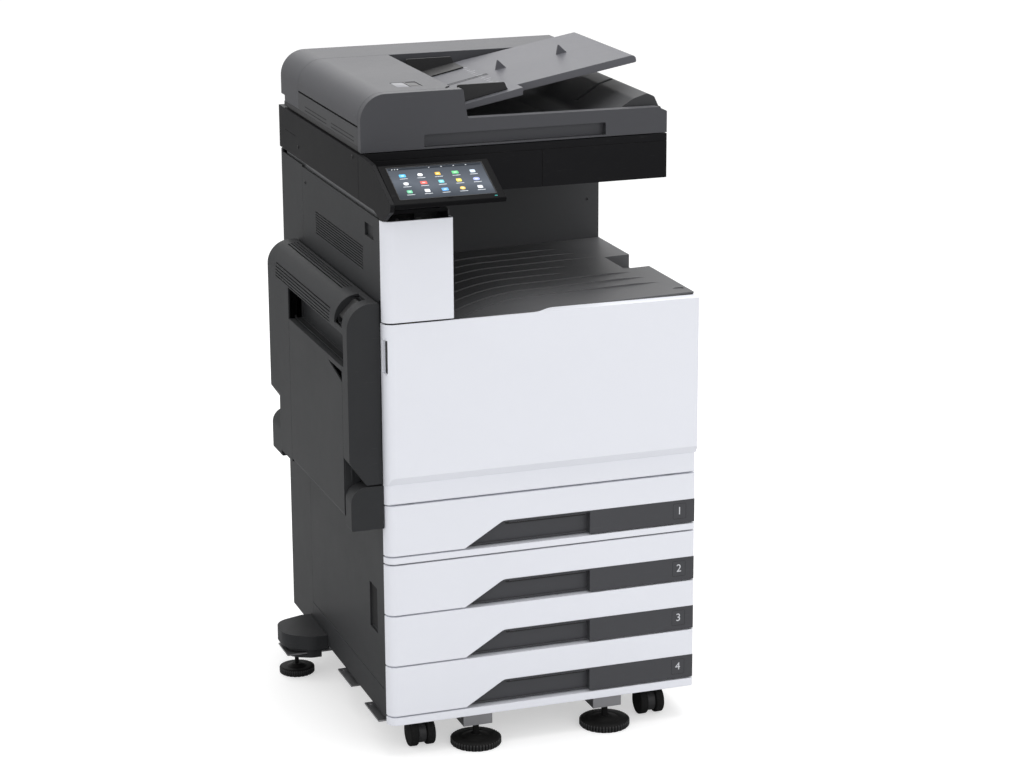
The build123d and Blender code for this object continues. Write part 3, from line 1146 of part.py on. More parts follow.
def tray_tub(z0):
    """The tub with its handle band, runner flanges, lift plate and paper guides."""
    band = along("y", grip_outline(z0, 0.3), (0.5, TRAY_FRONT_DEPTH))
    band -= block((GRIP_LEFT - 5, GRIP_BLOCK), (-1, 15), (z0 + 3, z0 + GRIP_HEIGHT - 3))
    band -= block((GRIP_LEFT - 5, GRIP_BLOCK), (-1, 12), (z0 - 1, z0 + 4))
    x = (TRAY_SIDE, WIDTH - TRAY_SIDE)
    y = (TRAY_FRONT_DEPTH, TRAY_FRONT_DEPTH + TUB_DEPTH)
    z = (z0 + TUB_LIFT, z0 + TUB_LIFT + TUB_HEIGHT)
    tub = block(x, y, z)
    tub -= block((x[0] + 3, x[1] - 3), (y[0] + 3, y[1] - 3), (z[0] + 3, z[1] + 1))
    tub -= block((x[0] - 1, x[0] + 4), (y[0] + 60, y[1] - 60), (z[0] + 50, z[1] + 1))
    flange_z = (z0 + FLANGE_RISE, z0 + FLANGE_RISE + 3)
    flange_y = (FRAME_FRONT + 2, y[1])
    tub += block((x[0] - FLANGE_WIDTH, x[0]), flange_y, flange_z)
    tub += block((x[1], x[1] + FLANGE_WIDTH), flange_y, flange_z)
    tub += block((x[0] + 100, x[1] - 3), (95, 97), (z[0] + 3, z[0] + 55))
    tub += block((x[0] + 100, x[1] - 3), (395, 397), (z[0] + 3, z[0] + 55))
    tub += block((x[1] - 70, x[1] - 67), (200, 290), (z[0] + 3, z[0] + 55))
    plate = block((x[0] + 20, x[0] + 300), (110, 382), (z[0] + 3, z[0] + 4.5))
    return [band + tub, plate]


# Everything that is written.
def parts():
    made = {
        "base_frame": base_frame(),
        "front_trim": front_trim(),
        "frame_plates": frame_plates(),
        "back_plate": back_plate(),
        "tray_runners": tray_runners(),
        "left_cover": left_covers(),
        "right_cover": right_cover(),
        "rear_cover": rear_cover(),
        "column_cover": column_cover(),
        "output_bay_walls": output_bay_walls(),
        "output_deck": output_deck(),
        "inner_cover": inner_cover(),
        "toner_cartridges": toner_cartridges(),
        "imaging_units": imaging_units(),
        "fuser_unit": fuser_unit(),
        "power_button": power_button(),
        "circuit_boards": circuit_boards(),
        "power_inlet": power_inlet(),
        "scanner_housing": scanner_housing(),
        "scanner_front_panel": scanner_front_panel(),
        "platen_glass": platen_glass(),
        "scan_rails": scan_rails(),
        "scan_carriage": scan_carriage(),
        "panel_console": panel_console(),
        "control_panel": control_panel(),
        "touch_screen": touch_screen(),
        "hinge_brackets": lid_hinges() + door_pins(),
        "adf_base": adf_base(),
        "document_pad": document_pad(),
        "adf_covers": adf_covers(),
        "adf_feeder_frame": adf_feeder_frame(),
        "adf_feed_roller": adf_feed_roller(),
        "adf_top_cover": adf_top_cover(),
        "adf_input_tray": adf_input_tray(),
        "adf_guide_front": adf_guide(GUIDE_FACE[0], GUIDE_FACE[0] + 60),
        "adf_guide_rear": adf_guide(GUIDE_FACE[1], GUIDE_FACE[1] - 56),
        "front_door": front_door(),
        "left_door": left_door() + latch_pin(),
        "bypass_tray": bypass_tray(),
        "left_door_latch": left_door_latch(),
        "side_housings": side_housings(),
    }
    for name, place in CASTERS.items():
        made["caster_fork_" + name] = caster_fork(place)
        made["caster_wheels_" + name] = caster_wheels(place)
    for name, x in zip(("left", "right"), LEVELER_X):
        made["leveler_" + name] = leveler((x, LEVELER_Y), LEVELER_RADIUS, 6, 60)
    made["leveler_rear"] = leveler(STABILISER, STABILISER_RADIUS, 4, 72)
    for number, z0 in TRAY_BOTTOM.items():
        made[f"tray_{number}_front"] = tray_front(z0)
        made[f"tray_{number}_tub"] = tray_tub(z0)
    return made


def main():
    os.makedirs("parts", exist_ok=True)
    made = {}
    for name, shape in parts().items():
        pieces = shape if isinstance(shape, list) else [shape]
        made[name] = [solid for piece in pieces for solid in piece.solids()]
    boxes = [solid.bounding_box() for pieces in made.values() for solid in pieces]
    centre_x = (min(b.min.X for b in boxes) + max(b.max.X for b in boxes)) / 2
    centre_y = (min(b.min.Y for b in boxes) + max(b.max.Y for b in boxes)) / 2
    print("origin", centre_x, centre_y)
    for name, pieces in made.items():
        moved = [Pos(-centre_x, -centre_y, 0) * piece for piece in pieces]
        whole = moved[0] if len(moved) == 1 else Compound(children=moved)
        export_step(whole, f"parts/{name}.step")


if __name__ == "__main__":
    main()
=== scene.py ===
import math

import bpy
import numpy as np
from bpy.props import FloatProperty, FloatVectorProperty, IntProperty, PointerProperty
from mathutils import Matrix, Vector


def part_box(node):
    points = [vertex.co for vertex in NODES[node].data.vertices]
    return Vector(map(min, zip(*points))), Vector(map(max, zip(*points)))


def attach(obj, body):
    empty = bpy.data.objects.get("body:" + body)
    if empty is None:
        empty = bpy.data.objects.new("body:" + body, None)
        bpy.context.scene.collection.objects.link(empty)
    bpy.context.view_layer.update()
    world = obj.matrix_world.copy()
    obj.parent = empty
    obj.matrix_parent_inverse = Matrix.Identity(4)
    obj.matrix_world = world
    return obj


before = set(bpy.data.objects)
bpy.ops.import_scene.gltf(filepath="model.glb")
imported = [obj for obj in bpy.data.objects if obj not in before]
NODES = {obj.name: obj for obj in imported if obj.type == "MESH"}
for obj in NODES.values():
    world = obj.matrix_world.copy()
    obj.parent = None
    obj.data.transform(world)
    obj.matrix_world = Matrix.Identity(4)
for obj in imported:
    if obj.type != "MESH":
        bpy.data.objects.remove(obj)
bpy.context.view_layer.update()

bl_info = {
    "name": "Office Copier Finishes",
    "version": (1, 0, 0),
    "blender": (4, 5, 0),
    "location": "3D View > Sidebar > Copier",
    "description": "Finishes, small parts and studio for the floor-standing copier",
    "category": "Object",
}

MM = 0.001
CORNER = Vector((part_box("tray_4_front")[0].x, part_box("tray_4_front")[0].y, 0.0))
FEEDER_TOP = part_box("adf_top_cover")[1].z
SCREEN_TILT = math.radians(25.0)


# Surfaces.
def cabinet(points):
    """Millimetres from the cabinet's front left corner on the floor, turned into metres in the frame."""
    return np.asarray(points, float).reshape(-1, 3) * MM + np.array(CORNER)


def grid_faces(rows, columns, wrap_rows=False, wrap_columns=False):
    """Quads of a grid of rows and columns, where a wrapped side joins its first."""
    r = np.arange(rows if wrap_rows else rows - 1)
    c = np.arange(columns if wrap_columns else columns - 1)
    r, c = (a.ravel() for a in np.meshgrid(r, c, indexing="ij"))
    r2, c2 = (r + 1) % rows, (c + 1) % columns
    return np.stack([r * columns + c, r * columns + c2, r2 * columns + c2, r2 * columns + c], 1)


def piece(name, parts, body, material, smooth=True, tints=None):
    """One mesh out of (points, faces) pairs laid one after another, with its finish and body."""
    points, faces, base = [], [], 0
    for p, f in parts:
        p = np.asarray(p, float).reshape(-1, 3)
        points.append(p)
        faces += [[int(i) + base for i in face] for face in f]
        base += len(p)
    mesh = bpy.data.meshes.new(name)
    mesh.from_pydata(np.concatenate(points).tolist(), [], faces)
    mesh.polygons.foreach_set("use_smooth", np.full(len(mesh.polygons), smooth))
    if tints is not None:
        shade = mesh.attributes.new("tint", "FLOAT_COLOR", "POINT")
        rows = np.concatenate([np.tile((*t, 1.0), (len(p), 1)) for (p, _), t in zip(parts, tints)])
        shade.data.foreach_set("color", rows.astype(np.float32).ravel())
    mesh.validate()
    mesh.update()
    made = bpy.data.objects.new(name, mesh)
    bpy.context.scene.collection.objects.link(made)
    mesh.materials.append(material)
    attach(made, body)
    return made


def turned(profile, centre, axis, count=24):
    """A (radius, height) profile spun round an axis: centre + r cos(t) u + r sin(t) v + h axis."""
    axis = np.array(axis, float) / np.linalg.norm(axis)
    side = np.cross(axis, (0, 0, 1) if abs(axis[2]) < 0.9 else (1, 0, 0))
    side /= np.linalg.norm(side)
    other = np.cross(axis, side)
    t = np.linspace(0, 2 * np.pi, count, endpoint=False)
    ring = np.cos(t)[:, None] * side + np.sin(t)[:, None] * other
    rows = [np.array(centre) + r * ring + h * axis for r, h in profile]
    faces = grid_faces(len(profile), count, wrap_columns=True)
    caps = [list(range(count))[::-1], list(range((len(profile) - 1) * count, len(profile) * count))]
    return np.concatenate(rows), faces.tolist() + caps


def rounded_outline(width, height, radius, steps=5):
    """A rounded rectangle about (0, 0), each corner a quarter circle set in by the radius."""
    t = np.linspace(0, np.pi / 2, steps)
    quarters = []
    for i, (sx, sy) in enumerate(((1, 1), (-1, 1), (-1, -1), (1, -1))):
        a = t + i * np.pi / 2
        mid = (sx * (width / 2 - radius), sy * (height / 2 - radius))
        quarters.append(np.stack([mid[0] + radius * np.cos(a), mid[1] + radius * np.sin(a)], 1))
    return np.concatenate(quarters)


def tablet(centre, across, up, width, height, radius, thick, crown=0.25):
    """A rounded slab with an eased rim: outline rings that rise and shrink, closed by a cap."""
    across, up = np.array(across, float), np.array(up, float)
    out = np.cross(across, up)
    rows = []
    for lift, shrink in ((0.0, 0.0), (1 - crown, 0.0), (1 - crown * 0.3, crown * 0.35), (1.0, crown)):
        edge = shrink * thick
        flat = rounded_outline(width - 2 * edge, height - 2 * edge, max(radius - edge, radius * 0.3))
        rows.append(np.array(centre) + flat[:, :1] * across + flat[:, 1:] * up + lift * thick * out)
    n = len(rows[0])
    faces = grid_faces(4, n, wrap_columns=True).tolist()
    return np.concatenate(rows), faces + [list(range(n))[::-1], list(range(3 * n, 4 * n))]


def ringed(centre, across, up, width, height, radius, line, thick):
    """A flat rounded frame: outer and inner outlines, each at two heights, joined round as a closed band."""
    across, up = np.array(across, float), np.array(up, float)
    out = np.cross(across, up)
    rows = []
    for inset, lift in ((0, 0), (0, thick), (line, thick), (line, 0)):
        flat = rounded_outline(width - 2 * inset, height - 2 * inset, max(radius - inset, radius * 0.3))
        rows.append(np.array(centre) + flat[:, :1] * across + flat[:, 1:] * up + lift * out)
    return np.concatenate(rows), grid_faces(4, len(rows[0]), True, True).tolist()


def screw_head(centre, axis, radius):
    """A pan head with a cross recess: a dome less a groove where |x| or |y| is small."""
    axis = np.array(axis, float) / np.linalg.norm(axis)
    side = np.cross(axis, (0, 0, 1) if abs(axis[2]) < 0.9 else (1, 0, 0))
    side /= np.linalg.norm(side)
    other = np.cross(axis, side)
    radii = np.array([1.0, 1.0, 0.82, 0.56, 0.5, 0.14, 0.0001]) * radius
    lift = np.array([0.0, 0.25, 0.42, 0.5, 0.5, 0.5, 0.5]) * radius
    t = np.linspace(0, 2 * np.pi, 32, endpoint=False)
    x, y = radii[:, None] * np.cos(t), radii[:, None] * np.sin(t)
    arm = 0.13 * radius
    cross = ((np.abs(x) < arm) | (np.abs(y) < arm)) & (radii[:, None] < 0.53 * radius)
    h = np.where(cross, 0.12 * radius, lift[:, None] + 0 * x)
    p = np.array(centre) + x[..., None] * side + y[..., None] * other + h[..., None] * axis
    faces = grid_faces(7, 32, wrap_columns=True)
    return p.reshape(-1, 3), faces.tolist()


def strip(start, end, across, width, thick):
    """A thin raised line with eased sides, standing out along the cross of its two ways."""
    start, end = np.array(start, float), np.array(end, float)
    way = (end - start) / np.linalg.norm(end - start)
    across = np.array(across, float) / np.linalg.norm(across)
    mid = (start + end) / 2
    return tablet(mid, way, across, np.linalg.norm(end - start), width, width * 0.45, thick)


# Shader groups.
def new_group(name, inputs, outputs):
    """An empty shader group with named sockets, and its two end nodes."""
    tree = bpy.data.node_groups.new(name, "ShaderNodeTree")
    for direction, sockets in (("INPUT", inputs), ("OUTPUT", outputs)):
        for label, kind, *default in sockets:
            socket = tree.interface.new_socket(name=label, in_out=direction, socket_type="NodeSocket" + kind)
            if default:
                socket.default_value = default[0]
    return tree, tree.nodes.new("NodeGroupInput"), tree.nodes.new("NodeGroupOutput")


def node(tree, kind, inputs=None, **settings):
    """Adds a node, sets its fields, and fills or links its inputs."""
    made = tree.nodes.new("ShaderNode" + kind)
    for key, value in settings.items():
        setattr(made, key, value)
    for key, value in (inputs or {}).items():
        if isinstance(value, bpy.types.NodeSocket):
            tree.links.new(value, made.inputs[key])
        else:
            made.inputs[key].default_value = value
    return made


def math_node(tree, operation, first, second=0.0, clamp=False):
    return node(tree, "Math", {0: first, 1: second}, operation=operation, use_clamp=clamp).outputs[0]


def mix_colour(tree, share, first, second, kind="MIX"):
    made = node(tree, "Mix", data_type="RGBA", blend_type=kind)
    for socket, value in zip((made.inputs[0], made.inputs[6], made.inputs[7]), (share, first, second)):
        if isinstance(value, bpy.types.NodeSocket):
            tree.links.new(value, socket)
        else:
            socket.default_value = value
    return made.outputs[2]


def moulded_group():
    """Spark-textured plastic: fine grain in height, slow mottling in colour, faint scuffs."""
    tree, into, out = new_group(
        "Moulded Plastic",
        [("Colour", "Color", (0.5, 0.5, 0.5, 1)), ("Grain Scale", "Float", 2500.0),
         ("Mottling", "Float", 0.06),
         ("Roughness", "Float", 0.45), ("Gloss Change", "Float", 0.08), ("Scuffing", "Float", 0.3)],
        [("Colour", "Color"), ("Roughness", "Float"), ("Height", "Float")],
    )
    where = node(tree, "TexCoord").outputs["Object"]
    fine = node(tree, "TexNoise", {"Vector": where, "Scale": into.outputs["Grain Scale"], "Detail": 2.0})
    pits = node(tree, "TexVoronoi", {"Vector": where, "Scale": into.outputs["Grain Scale"]},
                feature="SMOOTH_F1")
    slow = node(tree, "TexNoise", {"Vector": where, "Scale": 7.0, "Detail": 5.0, "Roughness": 0.6})
    cloud = node(tree, "TexNoise", {"Vector": where, "Scale": 45.0, "Detail": 4.0, "Roughness": 0.65})
    long_way = node(tree, "Mapping", {"Vector": where, "Scale": (3.0, 3.0, 40.0)}).outputs[0]
    rubs = node(tree, "TexNoise", {"Vector": long_way, "Scale": 9.0, "Detail": 8.0, "Roughness": 0.7})
    scuff = node(tree, "MapRange", {"Value": rubs.outputs[0], 1: 0.62, 2: 0.72, 3: 0.0, 4: 1.0}).outputs[0]
    scuff = math_node(tree, "MULTIPLY", scuff, into.outputs["Scuffing"])
    drift = math_node(tree, "SUBTRACT", slow.outputs[0], 0.5)
    drift = math_node(tree, "ADD", drift,
                      math_node(tree, "MULTIPLY", math_node(tree, "SUBTRACT", cloud.outputs[0], 0.5), 0.5))
    gain = math_node(tree, "ADD", math_node(tree, "MULTIPLY", drift, into.outputs["Mottling"]), 1.0)
    grey = node(tree, "CombineColor", {0: gain, 1: gain, 2: gain}).outputs[0]
    colour = mix_colour(tree, 1.0, into.outputs["Colour"], grey, "MULTIPLY")
    colour = mix_colour(tree, math_node(tree, "MULTIPLY", scuff, 0.12), colour, (0.5, 0.5, 0.5, 1))
    rough = math_node(tree, "ADD", into.outputs["Roughness"],
                      math_node(tree, "MULTIPLY", drift, into.outputs["Gloss Change"]))
    rough = math_node(tree, "ADD", rough, math_node(tree, "MULTIPLY", scuff, 0.1), clamp=True)
    height = math_node(tree, "ADD", math_node(tree, "MULTIPLY", fine.outputs[0], 0.6),
                       math_node(tree, "MULTIPLY", pits.outputs[0], 0.4))
    tree.links.new(colour, out.inputs["Colour"])
    tree.links.new(rough, out.inputs["Roughness"])
    tree.links.new(height, out.inputs["Height"])
    return tree


def edge_group():
    """Softened corners: a rounded normal, and a noisy edge mask that lightens rubbed corners."""
    tree, into, out = new_group(
        "Rubbed Edges",
        [("Colour", "Color", (0.5, 0.5, 0.5, 1)), ("Worn Colour", "Color", (0.8, 0.8, 0.8, 1)),
         ("Radius", "Float", 0.0012), ("Wear", "Float", 0.3)],
        [("Colour", "Color"), ("Normal", "Vector"), ("Mask", "Float")],
    )
    soft = node(tree, "Bevel", {"Radius": into.outputs["Radius"]}, samples=4)
    true = node(tree, "NewGeometry").outputs["True Normal"]
    close = node(tree, "VectorMath", {0: soft.outputs[0], 1: true}, operation="DOT_PRODUCT").outputs["Value"]
    mask = node(tree, "MapRange", {"Value": close, 1: 0.985, 2: 0.8, 3: 0.0, 4: 1.0}).outputs[0]
    where = node(tree, "TexCoord").outputs["Object"]
    chips = node(tree, "TexNoise", {"Vector": where, "Scale": 60.0, "Detail": 6.0,
                                    "Roughness": 0.75}).outputs[0]
    chips = node(tree, "MapRange", {"Value": chips, 1: 0.35, 2: 0.7, 3: 0.1, 4: 1.0}).outputs[0]
    mask = math_node(tree, "MULTIPLY", mask, chips)
    share = math_node(tree, "MULTIPLY", mask, into.outputs["Wear"], clamp=True)
    tree.links.new(mix_colour(tree, share, into.outputs["Colour"], into.outputs["Worn Colour"]),
                   out.inputs["Colour"])
    tree.links.new(soft.outputs[0], out.inputs["Normal"])
    tree.links.new(mask, out.inputs["Mask"])
    return tree


def dust_group():
    """Fine dust that settles on upward faces: the normal's height, broken up by two scales of noise."""
    tree, into, out = new_group(
        "Settled Dust",
        [("Colour", "Color", (0.5, 0.5, 0.5, 1)), ("Amount", "Float", 0.1)],
        [("Colour", "Color"), ("Mask", "Float")],
    )
    where = node(tree, "TexCoord").outputs["Object"]
    facing = node(tree, "SeparateXYZ", {0: node(tree, "NewGeometry").outputs["Normal"]}).outputs[2]
    facing = node(tree, "MapRange", {"Value": facing, 1: 0.3, 2: 1.0, 3: 0.0, 4: 1.0}).outputs[0]
    specks = node(tree, "TexNoise", {"Vector": where, "Scale": 900.0, "Detail": 3.0}).outputs[0]
    drifts = node(tree, "TexNoise", {"Vector": where, "Scale": 14.0, "Detail": 6.0}).outputs[0]
    lie = math_node(tree, "MULTIPLY", math_node(tree, "MULTIPLY", facing, drifts), specks)
    mask = math_node(tree, "MULTIPLY", lie, into.outputs["Amount"], clamp=True)
    tree.links.new(mix_colour(tree, mask, into.outputs["Colour"], (0.55, 0.54, 0.52, 1)),
                   out.inputs["Colour"])
    tree.links.new(mask, out.inputs["Mask"])
    return tree


def group_node(tree, name, inputs):
    made = node(tree, "Group", node_tree=bpy.data.node_groups[name])
    for key, value in inputs.items():
        if isinstance(value, bpy.types.NodeSocket):
            tree.links.new(value, made.inputs[key])
        else:
            made.inputs[key].default_value = value
    return made


def opaque(colour):
    return (colour[0], colour[1], colour[2], 1.0)


def plastic(name, colour, rough=0.45, grain=2500.0, depth=0.00004, mottling=0.08, worn=(0.7, 0.7, 0.7),
            wear=0.25,
            radius=0.0012, dust=0.15, gloss_change=0.1, scuffs=0.3, metal=0.0, specular=0.3,
            colour_from=None):
    """A finish built from the three groups: grain into bump, rounded corners, worn edges and settled dust."""
    made = bpy.data.materials.new(name)
    made.use_nodes = True
    tree = made.node_tree
    shader = tree.nodes["Principled BSDF"]
    base = colour_from(tree) if colour_from else opaque(colour)
    body = group_node(tree, "Moulded Plastic", {"Colour": base, "Grain Scale": grain, "Mottling": mottling,
                                                "Roughness": rough, "Gloss Change": gloss_change,
                                                "Scuffing": scuffs})
    edges = group_node(tree, "Rubbed Edges", {"Colour": body.outputs["Colour"], "Worn Colour": opaque(worn),
                                              "Radius": radius, "Wear": wear})
    dusted = group_node(tree, "Settled Dust", {"Colour": edges.outputs["Colour"], "Amount": dust})
    bump = node(tree, "Bump", {"Height": body.outputs["Height"], "Normal": edges.outputs["Normal"],
                               "Distance": depth, "Strength": 1.0})
    tree.links.new(dusted.outputs["Colour"], shader.inputs["Base Color"])
    tree.links.new(body.outputs["Roughness"], shader.inputs["Roughness"])
    tree.links.new(bump.outputs[0], shader.inputs["Normal"])
    shader.inputs["Metallic"].default_value = metal
    shader.inputs["Specular IOR Level"].default_value = specular
    return made


def by_place(axis, stops):
    """A colour stepped along one Object coordinate by (place in metres, colour) pairs."""
    def build(tree):
        where = node(tree, "TexCoord").outputs["Object"]
        along = node(tree, "SeparateXYZ", {0: where}).outputs[axis]
        low, high = stops[0][0], stops[-1][0] + 0.05
        share = node(tree, "MapRange", {"Value": along, 1: low, 2: high, 3: 0.0, 4: 1.0}).outputs[0]
        ramp = node(tree, "ValToRGB", {0: share})
        ramp.color_ramp.interpolation = "CONSTANT"
        while len(ramp.color_ramp.elements) < len(stops):
            ramp.color_ramp.elements.new(1.0)
        for element, (place, colour) in zip(ramp.color_ramp.elements, stops):
            element.position = (place - low) / (high - low)
            element.color = opaque(colour)
        return ramp.outputs[0]
    return build


def by_tint(tree):
    return node(tree, "Attribute", attribute_name="tint").outputs["Color"]


def glass(name, colour, rough):
    made = bpy.data.materials.new(name)
    made.use_nodes = True
    shader = made.node_tree.nodes["Principled BSDF"]
    tree = made.node_tree
    smear = node(tree, "TexNoise",
                 {"Vector": node(tree, "TexCoord").outputs["Object"], "Scale": 18.0, "Detail": 6.0})
    film = node(tree, "MapRange", {"Value": smear.outputs[0], 1: 0.4, 2: 0.75, 3: rough, 4: rough + 0.12})
    tree.links.new(film.outputs[0], shader.inputs["Roughness"])
    shader.inputs["Base Color"].default_value = opaque(colour)
    shader.inputs["Transmission Weight"].default_value = 1.0
    shader.inputs["IOR"].default_value = 1.5
    return made


def screen_glass(low, high):
    """The lit display: a slate-blue wash under smooth glass with a faint finger film."""
    made = bpy.data.materials.new("display_glass")
    made.use_nodes = True
    tree = made.node_tree
    shader = tree.nodes["Principled BSDF"]
    where = node(tree, "TexCoord").outputs["Object"]
    apart = node(tree, "SeparateXYZ", {0: where})
    rise = node(tree, "MapRange", {"Value": apart.outputs[2], 1: low.z, 2: high.z, 3: 0.0, 4: 1.0}).outputs[0]
    side = node(tree, "MapRange", {"Value": apart.outputs[0], 1: low.x, 2: high.x, 3: -0.12,
                                   4: 0.12}).outputs[0]
    cloud = node(tree, "TexNoise", {"Vector": where, "Scale": 22.0, "Detail": 3.0}).outputs[0]
    wash = math_node(tree, "ADD", rise, side)
    wash = math_node(tree, "ADD", wash,
                     math_node(tree, "MULTIPLY", math_node(tree, "SUBTRACT", cloud, 0.5), 0.35))
    ramp = node(tree, "ValToRGB", {0: wash})
    stops = ((0.0, (0.03, 0.036, 0.046)), (0.45, (0.085, 0.098, 0.12)), (1.0, (0.045, 0.052, 0.064)))
    ramp.color_ramp.elements.new(0.5)
    for element, (place, colour) in zip(ramp.color_ramp.elements, stops):
        element.position = place
        element.color = opaque(colour)
    film = node(tree, "MapRange", {"Value": cloud, 1: 0.4, 2: 0.7, 3: 0.08, 4: 0.16}).outputs[0]
    tree.links.new(ramp.outputs[0], shader.inputs["Base Color"])
    tree.links.new(ramp.outputs[0], shader.inputs["Emission Color"])
    tree.links.new(film, shader.inputs["Roughness"])
    shader.inputs["Emission Strength"].default_value = 0.16
    shader.inputs["Specular IOR Level"].default_value = 0.02
    return made


def glowing(name, strength):
    """Lit picture marks whose colour is each piece's own tint, with slight unevenness over the surface."""
    made = bpy.data.materials.new(name)
    made.use_nodes = True
    tree = made.node_tree
    shader = tree.nodes["Principled BSDF"]
    where = node(tree, "TexCoord").outputs["Object"]
    cloud = node(tree, "TexNoise", {"Vector": where, "Scale": 260.0, "Detail": 3.0}).outputs[0]
    gain = node(tree, "MapRange", {"Value": cloud, 3: 0.75, 4: 1.2}).outputs[0]
    grey = node(tree, "CombineColor", {0: gain, 1: gain, 2: gain}).outputs[0]
    colour = mix_colour(tree, 1.0, by_tint(tree), grey, "MULTIPLY")
    tree.links.new(colour, shader.inputs["Base Color"])
    tree.links.new(colour, shader.inputs["Emission Color"])
    shader.inputs["Emission Strength"].default_value = strength
    shader.inputs["Roughness"].default_value = 0.3
    shader.inputs["Specular IOR Level"].default_value = 0.03
    return made


# Settings.
class CopierSizes(bpy.types.PropertyGroup):
    numeral_height: FloatProperty(name="Numeral Height", description="Height of the tray numerals",
                                  default=0.015, unit="LENGTH")
    screw_radius: FloatProperty(name="Screw Radius", description="Radius of the cover screws' heads",
                                default=0.0034, unit="LENGTH")
    edge_radius: FloatProperty(name="Edge Radius", description="Softened corner of the white fronts",
                               default=0.0016, unit="LENGTH")
    icon_size: FloatProperty(name="Icon Size", description="Width of one picture mark on the screen",
                             default=0.0096, unit="LENGTH")
    foot_knurls: IntProperty(name="Foot Knurls", description="Grip ribs round each screw foot's rim",
                             default=48)
    lens: FloatProperty(name="Lens", description="Camera focal length, in millimetres", default=97.24)


def paint(name, default):
    return FloatVectorProperty(name=name, description=f"{name} as linear colour", default=default,
                               subtype="COLOR", min=0, max=1)


class CopierColours(bpy.types.PropertyGroup):
    front_white: paint("Front White", (0.80, 0.815, 0.872))
    cover_grey: paint("Cover Grey", (0.031, 0.032, 0.034))
    feeder_grey: paint("Feeder Grey", (0.052, 0.053, 0.06))
    # Lighter than the feeder grey as painted light: the document tray's top lit from above.
    tray_grey: paint("Document Tray Painted Light Grey", (0.092, 0.093, 0.105))
    # Lighter than the deck grey of the bay walls as painted light: the output deck's upward face lit from
    # above.
    shelf_grey: paint("Output Shelf Painted Light Grey", (0.09, 0.091, 0.096))
    deck_grey: paint("Deck Grey", (0.04, 0.041, 0.044))
    grip_grey: paint("Grip Grey", (0.054, 0.055, 0.061))
    gloss_black: paint("Scanner Black", (0.0125, 0.0125, 0.0135))
    works_black: paint("Works Black", (0.018, 0.018, 0.019))
    zinc: paint("Zinc", (0.26, 0.26, 0.27))


# Lamp name, power in watts, size and place in metres.
SOFTBOXES = (
    ("overhead_softbox", 74, 2.6, (0.3, 0.2, 3.6)),
    ("front_softbox", 26, 2.4, (1.2, -3.6, 1.7)),
    ("left_softbox", 10, 1.8, (-3.2, -0.6, 1.8)),
    ("back_softbox", 12, 2.0, (0.6, 3.4, 2.2)),
)
LAMP_TARGET = (0, 0, 0.65)
FLOOR_REACH = 14
CAMERA_TURN, CAMERA_HEIGHT, CAMERA_ROLL = -19.366, 15.733, -0.26  # degrees
CAMERA_PLACE = (-1.5925, -4.82225, 2.0360)
MADE = {}


def finish(name):
    return MADE[name]


